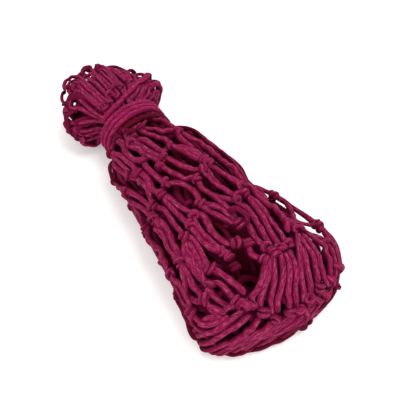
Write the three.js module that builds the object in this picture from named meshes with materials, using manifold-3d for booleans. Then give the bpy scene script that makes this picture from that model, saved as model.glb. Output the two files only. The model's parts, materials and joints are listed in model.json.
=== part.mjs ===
// A knotted hay net folded into a lying bundle and tied round the neck with its own draw cord.
// Millimetres. +X runs from the mouth end (head) to the foot, +Y is the side of the loose mesh,
// +Z is up. The bundle rests on Z = 0; the origin is the bottom centre of its bounding box.
import * as THREE from "three";
import { mergeVertices } from "three/addons/utils/BufferGeometryUtils.js";
import Module from "manifold-3d";

const wasm = await Module();
wasm.setup();

const { smoothstep, clamp, degToRad } = THREE.MathUtils;

// ---------- driving dimensions ----------
const CORD_R = 3; // soft braided cord
const THIN_CORD_R = 2.6; // mouth loops and arch
const DRAW_CORD_R = 2.9; // pulled tight round the neck
const CORD_SIDES = 6;
const INSET = CORD_R + 0.2; // cord centreline below the bundle's surface
const KNOT_R = 4.4; // swelling of one cord at a knot
const KNOT_PITCH = 9.4; // centre distance of two cords that meet in a knot
const CORE_GAP = INSET + KNOT_R + 0.5; // inner layers clear the outer cords

const NECK_Y = -4.3;
const NECK_Z = 31.5;
const NECK_START = 3; // the narrow neck, along x
const NECK_END = 36;

// The hollow in the top of the end fold
const HOLLOW_X = 240;
const HOLLOW_Y = -26;

// Moves the neck-based layout to the bounding box's bottom centre
const LAYOUT_SHIFT = [-100.229, 2.846, 0];

const COLOUR = {
  inner: 0x5a1032,
  throat: 0x6b1440,
  body: 0x9a1f5e,
  loose: 0x8c1c55,
  draw: 0xa3246a,
  slackTurn: 0x4a0d2c,
};

// ---------- the bundle's outer shape ----------
// x, middle line y, half width, thickness
const STATIONS = [
  [-88, -6, 6, 40],
  [-82, -6, 22, 48],
  [-65, -6, 44, 60],
  [-45, -6, 50, 63],
  [-28, -5, 52, 64],
  [-12, -4.6, 41, 58],
  [NECK_START, -4.3, 29.5, 48.4],
  [NECK_END, -4.5, 29.5, 48.4],
  [47, -6, 42, 64],
  [60, -8, 47, 70],
  [80, -7.5, 51, 70],
  [125, -9, 59, 68],
  [180, -13, 66, 66],
  [235, -16, 72, 64],
  [260, -16, 70, 57],
  [278, -16, 58, 40],
  [288, -16, 24, 20],
];
const FOOT_X = STATIONS.at(-1)[0];
const SECTION_POWER = 2.2; // superellipse exponent of the cross section
const FLANK = degToRad(17); // how far the body cords reach below mid height

// 1 under the draw cord, 0 on the body and the head
function neckness(x) {
  if (x < NECK_START) return smoothstep(x, -30, NECK_START);
  return 1 - smoothstep(x, NECK_END, 56);
}

// The cross section at x, interpolated between stations and held constant beyond the ends
function sectionAt(x) {
  const next = STATIONS.findIndex((station) => x <= station[0]);
  let row = STATIONS.at(next);
  if (next > 0) {
    const before = STATIONS[next - 1];
    const share = (x - before[0]) / (row[0] - before[0]);
    row = row.map((value, column) => before[column] + share * (value - before[column]));
  }
  const [, midY, halfWidth, thickness] = row;
  const halfHeight = thickness / 2;
  const neck = neckness(x);
  const centreZ = neck * NECK_Z + (1 - neck) * halfHeight;
  return { midY, halfWidth, halfHeight, centreZ };
}

const signedPower = (value, power) => Math.sign(value) * Math.pow(Math.abs(value), power);

// Height of the top surface over (x, y), inset by a distance
function topZ(x, y, inset) {
  const { midY, halfWidth, halfHeight, centreZ } = sectionAt(x);
  const offset = Math.min(Math.abs((y - midY) / (halfWidth - inset)), 0.999);
  const rise = Math.pow(1 - Math.pow(offset, SECTION_POWER), 1 / SECTION_POWER);
  return centreZ + (halfHeight - inset) * rise;
}

// The inset section's arc from the -Y flank over the top to the +Y flank, read by arc length
function arcOverTop(x) {
  const segments = 96;
  const power = 2 / SECTION_POWER;
  const { midY, halfWidth, halfHeight, centreZ } = sectionAt(x);
  const points = [];
  const lengths = [0];
  for (let i = 0; i <= segments; i++) {
    const angle = Math.PI + FLANK - ((Math.PI + 2 * FLANK) * i) / segments;
    points.push(
      new THREE.Vector3(
        x,
        midY + (halfWidth - INSET) * signedPower(Math.cos(angle), power),
        centreZ + (halfHeight - INSET) * signedPower(Math.sin(angle), power),
      ),
    );
    if (i) lengths.push(lengths[i - 1] + points[i].distanceTo(points[i - 1]));
  }
  const length = lengths[segments];
  const pointAt = (distance) => {
    const along = clamp(distance, 0, length);
    let i = 1;
    while (i < segments && lengths[i] < along) i++;
    const share = (along - lengths[i - 1]) / (lengths[i] - lengths[i - 1]);
    return points[i - 1].clone().lerp(points[i], share);
  };
  return { length, pointAt };
}

// ---------- solids and meshes ----------
// Welds a geometry into a solid, turning its triangles round if they face inwards
function toManifold(geometry) {
  geometry.deleteAttribute("normal");
  geometry.deleteAttribute("uv");
  const welded = mergeVertices(geometry, 1e-4);
  const vertProperties = new Float32Array(welded.attributes.position.array);
  const triVerts = new Uint32Array(welded.index.array);
  const build = () =>
    new wasm.Manifold(new wasm.Mesh({ numProp: 3, vertProperties, triVerts }));
  const solid = build();
  if (solid.volume() >= 0) return solid;
  for (let i = 0; i < triVerts.length; i += 3) {
    [triVerts[i + 1], triVerts[i + 2]] = [triVerts[i + 2], triVerts[i + 1]];
  }
  return build();
}

function toGeometry(solid) {
  const mesh = solid.getMesh();
  const geometry = new THREE.BufferGeometry()
    .setAttribute("position", new THREE.BufferAttribute(new Float32Array(mesh.vertProperties), 3))
    .setIndex(new THREE.BufferAttribute(new Uint32Array(mesh.triVerts), 1));
  geometry.computeVertexNormals();
  return geometry;
}

function cordSection(radius) {
  const corners = Array.from({ length: CORD_SIDES }, (_, i) => {
    const angle = (2 * Math.PI * (i + 0.5)) / CORD_SIDES;
    return new THREE.Vector2(radius * Math.cos(angle), radius * Math.sin(angle));
  });
  const shape = new THREE.Shape(corners);
  shape.closePath();
  return shape;
}

// Scales the cord's ring nearest the knot up to the knot's radius
function swellRing(position, rings, knot, radius) {
  let nearest = rings[0];
  for (const ring of rings) {
    if (ring.distanceTo(knot) < nearest.distanceTo(knot)) nearest = ring;
  }
  const vertex = new THREE.Vector3();
  for (let i = 0; i < position.count; i++) {
    vertex.fromBufferAttribute(position, i);
    if (vertex.distanceTo(nearest) < radius * 1.05) {
      vertex.sub(nearest).multiplyScalar(KNOT_R / radius).add(nearest);
      position.setXYZ(i, vertex.x, vertex.y, vertex.z);
    }
  }
}

// A cord along [x, y, z] points, swollen at its knots
function cord(points, steps, { closed = false, knots = [], radius = CORD_R } = {}) {
  const path = points.map(([x, y, z]) => new THREE.Vector3(x, y, z));
  const curve = new THREE.CatmullRomCurve3(path, closed, "centripetal");
  const geometry = new THREE.ExtrudeGeometry(cordSection(radius), {
    steps,
    bevelEnabled: false,
    extrudePath: curve,
  });
  const rings = curve.getSpacedPoints(steps);
  for (const knot of knots) {
    swellRing(geometry.attributes.position, rings, new THREE.Vector3(...knot), radius);
  }
  return toManifold(geometry);
}

const part = new THREE.Group();
const layout = new THREE.Group();
layout.position.set(...LAYOUT_SHIFT);
part.add(layout);

function addMesh(name, solid, color) {
  const material = new THREE.MeshStandardMaterial({ color, roughness: 0.85, metalness: 0 });
  const mesh = new THREE.Mesh(toGeometry(solid), material);
  mesh.name = name;
  layout.add(mesh);
}

const numbered = (name, index) => name + String(index + 1).padStart(2, "0");

// Middle of slot `index` when -1..1 is divided into `count` equal slots
const slotMiddle = (index, count) => -1 + (2 * (index + 0.5)) / count;

// ---------- the folded layers inside ----------
// A cylinder's rings are moved onto the inset section, with the underside cut flat at bottomZ(x).
// A ring may take its size from a station further on, by lookAhead(x).
function innerSolid({ xs, bottomZ, gap, widthScale = 1, lookAhead = () => 0 }) {
  const rows = xs.length - 1;
  const geometry = new THREE.CylinderGeometry(1, 1, 1, 20, rows);
  const position = geometry.attributes.position;
  for (let i = 0; i < position.count; i++) {
    const x = xs[Math.round((0.5 - position.getY(i)) * rows)];
    const { midY } = sectionAt(x);
    const { halfWidth, halfHeight, centreZ } = sectionAt(x + lookAhead(x));
    const width = (halfWidth - gap) * widthScale;
    const up = halfHeight - gap;
    const bottom = bottomZ(x);
    if (Math.hypot(position.getX(i), position.getZ(i)) < 1e-6) {
      // centre of an end cap
      position.setXYZ(i, x, midY, (bottom + centreZ + up) / 2);
      continue;
    }
    const angle = Math.atan2(position.getZ(i), position.getX(i));
    const sine = Math.sin(angle);
    const y = midY + width * signedPower(Math.cos(angle), 2 / SECTION_POWER);
    // The lower half is squarer and overshoots a little, so that the cut leaves a flat
    const z =
      sine >= 0
        ? centreZ + up * Math.pow(sine, 2 / SECTION_POWER)
        : Math.max(bottom, centreZ - (centreZ - bottom) * 1.06 * Math.pow(-sine, 2 / 3.2));
    position.setXYZ(i, x, y, z);
  }
  return toManifold(geometry);
}

function addInnerNetLayers() {
  const core = innerSolid({
    xs: [NECK_START, 12, 24, 35, 50, 80, 125, 180, 235, 255, 266, 273],
    bottomZ: (x) => neckness(x) * (NECK_Z - 16.5) + smoothstep(x, 250, 273) * 7.2,
    gap: CORE_GAP,
    lookAhead: (x) => 7 * smoothstep(x, 225, 250),
  });
  const hollow = new THREE.SphereGeometry(1, 14, 8);
  hollow.scale(19, 23, 42);
  hollow.translate(HOLLOW_X, HOLLOW_Y, 66);
  addMesh("inner_net_layers", core.subtract(toManifold(hollow)), COLOUR.inner);
}

function addInnerMouthLayers() {
  const solid = innerSolid({
    xs: [-70, -62, -50, -36],
    bottomZ: (x) => {
      const { centreZ, halfHeight } = sectionAt(x);
      return centreZ - (halfHeight - CORE_GAP) * 0.72;
    },
    gap: CORE_GAP + 6,
    widthScale: 0.55,
  });
  addMesh("inner_mouth_layers", solid, COLOUR.inner);
}

// Gathered cords between the draw cord and the mouth loops, as one flattened disc
function addThroatStrands() {
  const disc = new THREE.CylinderGeometry(21, 21, 6, 18, 1);
  disc.rotateZ(Math.PI / 2);
  disc.scale(1, 1, 0.8);
  disc.translate(-7.5, NECK_Y, NECK_Z);
  addMesh("throat_strands", toManifold(disc), COLOUR.throat);
}

// ---------- lengthwise cords of the body ----------
const BODY_CORDS = 14;
const KNOT_ROWS = [56, 88, 128, 165, 205]; // x of the rows of knots
const BODY_STATIONS = [
  ...[NECK_START, 11, 20, 28, 35, 45],
  // each row of knots, and the middle between it and the next
  ...KNOT_ROWS.flatMap((x, i) => (i ? [(KNOT_ROWS[i - 1] + x) / 2, x] : [x])),
  ...[219, 233],
];

function addBodyCords() {
  const arcs = BODY_STATIONS.map(arcOverTop);
  for (let k = 0; k < BODY_CORDS; k++) {
    const points = [];
    const knots = [];
    BODY_STATIONS.forEach((x, i) => {
      const pitch = arcs[i].length / BODY_CORDS;
      const row = KNOT_ROWS.indexOf(x);
      // A cord meets its neighbours on either side in turn, row by row
      const side = (k + row) % 2 ? -1 : 1;
      const neighbour = k + side;
      const knotted = row >= 0 && neighbour >= 0 && neighbour < BODY_CORDS;
      const pull = knotted ? (side * (pitch - KNOT_PITCH)) / 2 : 0;
      const point = arcs[i].pointAt((k + 0.5) * pitch + pull).toArray();
      points.push(point);
      if (knotted) knots.push(point);
    });
    addMesh(numbered("body_cord_", k), cord(points, 22, { knots }), COLOUR.body);
  }
}

// ---------- loops that fold round the foot ----------
// They fan out from the hollow over the rounded end and tuck in underneath.
const FOOT_LOOPS = 12;
const FOOT_FAN = { x: 235, y: -16, startRadius: 33, halfAngle: degToRad(84.8) };
const EDGE_STEP = 0.5; // radial step when searching for the bundle's edge

function addFootLoops() {
  for (let k = 0; k < FOOT_LOOPS; k++) {
    const angle = slotMiddle(k, FOOT_LOOPS) * FOOT_FAN.halfAngle;
    const at = (radius) => [
      FOOT_FAN.x + radius * Math.cos(angle),
      FOOT_FAN.y + radius * Math.sin(angle),
    ];
    const isInside = ([x, y]) => {
      const { midY, halfWidth } = sectionAt(x);
      return x <= FOOT_X - INSET && Math.abs(y - midY) <= halfWidth - INSET;
    };
    let edge = FOOT_FAN.startRadius;
    while (isInside(at(edge + EDGE_STEP))) edge += EDGE_STEP;

    const points = [0, 0.35, 0.66, 0.88].map((share) => {
      const [x, y] = at(FOOT_FAN.startRadius + share * (edge - FOOT_FAN.startRadius));
      return [x, y, topZ(x, y, INSET)];
    });
    const [edgeX, edgeY] = at(edge);
    points.push(
      [edgeX, edgeY, Math.max(11, sectionAt(edgeX).halfHeight * 0.72)],
      [...at(edge - 2.2), 5.6],
      [...at(edge - 8), 3.1],
    );
    addMesh(numbered("foot_loop_", k), cord(points, 11), COLOUR.body);
  }
}

// ---------- mouth loops fanned out at the head ----------
// Each leaves the throat on top, runs out to the edge of the fan and comes back underneath.
const MOUTH_LOOPS = 9;
const THROAT_DEPTH = 14; // the loops start at x = -THROAT_DEPTH
const THROAT_HALF_WIDTH = 27.1;
const THROAT_HALF_HEIGHT = 21.9;
const MOUTH_REACH = 88.4; // of the middle of the fan, to the cord's outside
const LOOP_END_HALF_HEIGHT = 8;

// Mid height of a mouth loop, from the neck's at the throat to the section's further out
function mouthMidZ(x) {
  return NECK_Z + (sectionAt(x).centreZ - NECK_Z) * smoothstep(-x, THROAT_DEPTH, 44);
}

function addMouthLoops() {
  for (let k = 0; k < MOUTH_LOOPS; k++) {
    const across = slotMiddle(k, MOUTH_LOOPS);
    const angle = Math.PI / 2 - across * degToRad(87);
    const reach = MOUTH_REACH - 20 * across * across - INSET;
    const outerY = -5 + across * 46.5;
    const throatY = NECK_Y + THROAT_HALF_WIDTH * Math.cos(angle);
    const throatRise = THROAT_HALF_HEIGHT * Math.sin(angle);
    // x, y and height above the loop's mid height
    const half = [0, 0.25, 0.5, 0.78].map((share) => {
      const x = -THROAT_DEPTH - share * (reach - THROAT_DEPTH - 4);
      const y = throatY + (outerY - throatY) * smoothstep(share, 0, 0.8);
      const surfaceRise = topZ(x, y, INSET) - sectionAt(x).centreZ;
      return [x, y, throatRise + (surfaceRise - throatRise) * smoothstep(share, 0, 0.35)];
    });
    const endX = -reach + 1.2;
    const endY = outerY * 1.02;
    const endZ = mouthMidZ(-reach);
    const points = [
      ...half.map(([x, y, rise]) => [x, y, mouthMidZ(x) + rise]),
      [endX, endY, endZ + LOOP_END_HALF_HEIGHT],
      [endX, endY, endZ - LOOP_END_HALF_HEIGHT],
      ...half.map(([x, y, rise]) => [x, y, Math.max(mouthMidZ(x) - rise, 3.2)]).reverse(),
    ];
    const solid = cord(points, 14, { radius: THIN_CORD_R });
    addMesh(numbered("mouth_loop_", k), solid, COLOUR.loose);
  }
}

// ---------- the draw cord ----------
const TURN_HALF_WIDTH = 33.2; // centreline of the turns, which lie a little flattened
const TURN_HALF_HEIGHT = 28.4;

// Three turns round the neck, one continuous helix
function addDrawCordTurns() {
  const turns = 3;
  const pitch = 6.1;
  const startX = 6.4;
  const pointsPerTurn = 10;
  const points = [];
  for (let i = 0; i <= turns * pointsPerTurn; i++) {
    const angle = (2 * Math.PI * i) / pointsPerTurn - Math.PI / 2;
    points.push([
      startX + (pitch * i) / pointsPerTurn,
      NECK_Y + TURN_HALF_WIDTH * Math.cos(angle),
      NECK_Z + TURN_HALF_HEIGHT * Math.sin(angle),
    ]);
  }
  addMesh("draw_cord_turns", cord(points, 54, { radius: DRAW_CORD_R }), COLOUR.draw);
}

// A slacker closed turn on the body's side of the others
function addSlackTurn() {
  const count = 16;
  const points = Array.from({ length: count }, (_, i) => {
    const angle = (2 * Math.PI * i) / count;
    return [
      31.3 + 0.6 * Math.sin(angle),
      NECK_Y - 0.1 + (TURN_HALF_WIDTH + 0.3) * Math.cos(angle),
      NECK_Z + 0.3 + (TURN_HALF_HEIGHT + 0.05) * Math.sin(angle),
    ];
  });
  const solid = cord(points, 20, { closed: true, radius: DRAW_CORD_R });
  addMesh("draw_cord_slack_turn", solid, COLOUR.slackTurn);
}

// The lead that lies over the head, running out towards the mouth and +Y
function addDrawCordLead() {
  const clearance = 2.2;
  const plan = [[-4, -13], [-9, -3], [-15, 8], [-22, 19], [-30, 29]]; // x, y
  const points = plan.map(([x, y]) => [x, y, topZ(x, y, 0) + CORD_R + clearance]);
  addMesh("draw_cord_lead", cord(points, 8), COLOUR.draw);
}

// ---------- loose pieces ----------
// Mesh cord that stands off the body on the +Y side
function addSideMesh() {
  const points = [
    [138, 52.5, 21], [160, 65, 20], [184, 72.5, 18.5],
    [210, 77, 18], [232, 76, 17], [252, 67.5, 15],
  ];
  const solid = cord(points, 14, { knots: [points[1], points[3]] });
  addMesh("side_mesh", solid, COLOUR.loose);
}

// Small arch that stands up from the top of the body
function addArchLoop() {
  const points = [
    [181, -4, 69.4], [181.5, 0, 72], [187, 2.6, 73.4],
    [194, 2.6, 72.8], [197.5, -1, 70.8], [198, -4.6, 69],
  ];
  addMesh("arch_loop", cord(points, 10, { radius: THIN_CORD_R }), COLOUR.draw);
}

// Closing loop that gathers the last meshes, down in the hollow of the end fold
function addFootGatherLoop() {
  const ring = new THREE.TorusGeometry(10.5, 2.9, 6, 18);
  ring.scale(0.9, 1.15, 1);
  ring.translate(HOLLOW_X, HOLLOW_Y, 37.5);
  addMesh("foot_gather_loop", toManifold(ring), COLOUR.inner);
}

addInnerNetLayers();
addInnerMouthLayers();
addThroatStrands();
addBodyCords();
addFootLoops();
addMouthLoops();
addDrawCordTurns();
addSlackTurn();
addDrawCordLead();
addSideMesh();
addArchLoop();
addFootGatherLoop();

export default part;
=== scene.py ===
"""Looks of a bundled hay net: soft braided cords, netting knots and a draw cord.

Layout frame, in millimetres: x from the neck towards the foot, y to the side of the loose mesh,
z up from the floor. The mouth of the net lies beyond the neck, at negative x.
SHIFT carries the layout into the product's frame, and objects are made in metres.
"""

import json
import math
from dataclasses import dataclass

import bpy
import numpy as np
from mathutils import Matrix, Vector, kdtree

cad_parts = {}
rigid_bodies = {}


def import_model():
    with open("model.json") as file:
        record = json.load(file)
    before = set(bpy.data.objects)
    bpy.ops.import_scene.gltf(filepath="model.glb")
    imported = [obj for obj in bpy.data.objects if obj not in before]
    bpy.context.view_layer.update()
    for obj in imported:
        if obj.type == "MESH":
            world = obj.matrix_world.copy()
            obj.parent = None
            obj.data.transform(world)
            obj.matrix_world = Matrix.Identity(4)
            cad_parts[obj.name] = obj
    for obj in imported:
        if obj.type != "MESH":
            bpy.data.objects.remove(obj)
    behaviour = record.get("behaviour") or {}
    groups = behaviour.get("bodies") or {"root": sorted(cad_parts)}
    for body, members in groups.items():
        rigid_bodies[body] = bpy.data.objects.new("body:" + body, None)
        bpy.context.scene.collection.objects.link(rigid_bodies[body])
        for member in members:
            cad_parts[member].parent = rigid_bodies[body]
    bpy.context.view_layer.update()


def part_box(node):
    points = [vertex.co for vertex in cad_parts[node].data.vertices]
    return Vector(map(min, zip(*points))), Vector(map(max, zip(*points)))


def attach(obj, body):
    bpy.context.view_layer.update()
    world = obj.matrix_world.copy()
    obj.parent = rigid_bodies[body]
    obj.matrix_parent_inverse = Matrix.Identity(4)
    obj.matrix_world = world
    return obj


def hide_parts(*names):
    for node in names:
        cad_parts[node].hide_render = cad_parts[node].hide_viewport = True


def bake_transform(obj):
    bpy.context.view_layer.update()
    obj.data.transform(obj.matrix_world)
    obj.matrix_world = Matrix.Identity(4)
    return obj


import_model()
rng = np.random.default_rng(745)

# The layout hangs on the gathered cords under the draw cord: they start 10.5 mm before its
# origin, and their middle is at NECK_Y.
THROAT = [[1000 * float(c) for c in v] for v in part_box("throat_strands")]
NECK_Y = -4.3
NECK_Z = round((THROAT[0][2] + THROAT[1][2]) / 2, 3)
NECK_FLAT = 0.83  # height of the neck over its width
SHIFT = np.round([THROAT[0][0] + 10.5, (THROAT[0][1] + THROAT[1][1]) / 2 - NECK_Y, 0.0], 3)

FOOT = np.array([236.0, -12.0])  # x, y that the foot's cords fan out from
MOUTH = np.array([-8.0, -4.0])  # x, y that the mouth's loops fan out from
EYE = np.array([464.0, -233.0, 513.0])  # viewpoint the openings between cords face
LAID_STEP = 4.0  # point spacing of a cord while it settles
FINE_STEP = 1.3  # point spacing of a settled cord

# ---------------------------------------------------------------- outline of the bundle
# Columns: station x, edge at low y, edge at high y, thickness
OUTLINE = np.array([
    (-89, -12, 0, 40), (-83, -26, 14, 48), (-65, -48, 35, 60), (-45, -58, 44, 63),
    (-28, -62, 53, 64), (-10, -54, 42, 60), (3, -35, 25.5, 49), (36, -38, 27, 49),
    (47, -52, 36, 63), (60, -57, 42, 70), (80, -58, 48, 70), (125, -64, 53, 68),
    (150, -69, 49, 67), (180, -74, 53, 66), (235, -84, 63, 64), (260, -79, 65, 57),
    (270, -68, 54, 49), (278, -50, 36, 40), (284, -28, 17, 30), (287, -8, 4, 22),
])
POWER = 2.2  # of the superellipse each cross-section follows
FLAT_POWER = 3.4  # of its underside, pressed flat


def profile(x):
    """Middle y, half width and thickness of the bundle at station x."""
    low, high, thick = (np.interp(x, OUTLINE[:, 0], OUTLINE[:, k]) for k in (1, 2, 3))
    return (low + high) / 2, (high - low) / 2, thick


def neckness(x):
    """1 along the neck, falling to 0 to either side of it."""

    def smooth(start, end):
        u = np.clip((x - start) / (end - start), 0, 1)
        return u * u * (3 - 2 * u)

    return np.where(x < 3, smooth(-30.0, 3.0), 1 - smooth(36.0, 56.0))


def middle_z(x):
    n = neckness(x)
    return n * NECK_Z + (1 - n) * profile(x)[2] / 2


def rounded(value):
    """A sine or cosine bent to the cross-section's superellipse."""
    return math.copysign(abs(value) ** (2 / POWER), value)


def skin_point(x, angle, inset):
    """Point at station x and an angle round the bundle, inset from its skin."""
    mid, half, thick = profile(x)
    half, height = half - inset, thick / 2 - inset
    c, s = math.cos(angle), math.sin(angle)
    z = middle_z(x) + height * rounded(s)
    if s < 0:
        n = float(neckness(x))
        pressed = middle_z(x) - height * abs(s) ** (2 / FLAT_POWER)
        z = n * z + (1 - n) * pressed
    return np.array([x, mid + half * rounded(c), max(float(z), 3.0)])


def top_z(x, y):
    mid, half, thick = profile(x)
    r = np.minimum(np.abs((y - mid) / np.maximum(half, 1e-3)), 1.0)
    return thick / 2 + thick / 2 * (1 - r**POWER) ** (1 / POWER)


def neck_at(x, angle, radius):
    y = NECK_Y + radius * math.cos(angle)
    return np.array([x, y, NECK_Z + NECK_FLAT * radius * math.sin(angle)])


def toward(centre, distance, angle):
    return centre[0] + distance * math.cos(angle), centre[1] + distance * math.sin(angle)


def reach(centre, angle):
    """How far the outline is from centre in a direction."""
    low, high = 0.0, 140.0
    for _ in range(24):
        m = (low + high) / 2
        x, y = toward(centre, m, angle)
        mid, half, _thick = profile(x)
        inside = OUTLINE[0, 0] < x < OUTLINE[-1, 0] and abs(y - mid) < half
        low, high = (m, high) if inside else (low, m)
    return low


def pit_shape(x, y, long, wide):
    """Bell of height 1 over the hollow on top of the foot."""
    return math.exp(-((((x - 238) / long) ** 2 + ((y + 24) / wide) ** 2) ** 1.5))


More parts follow.
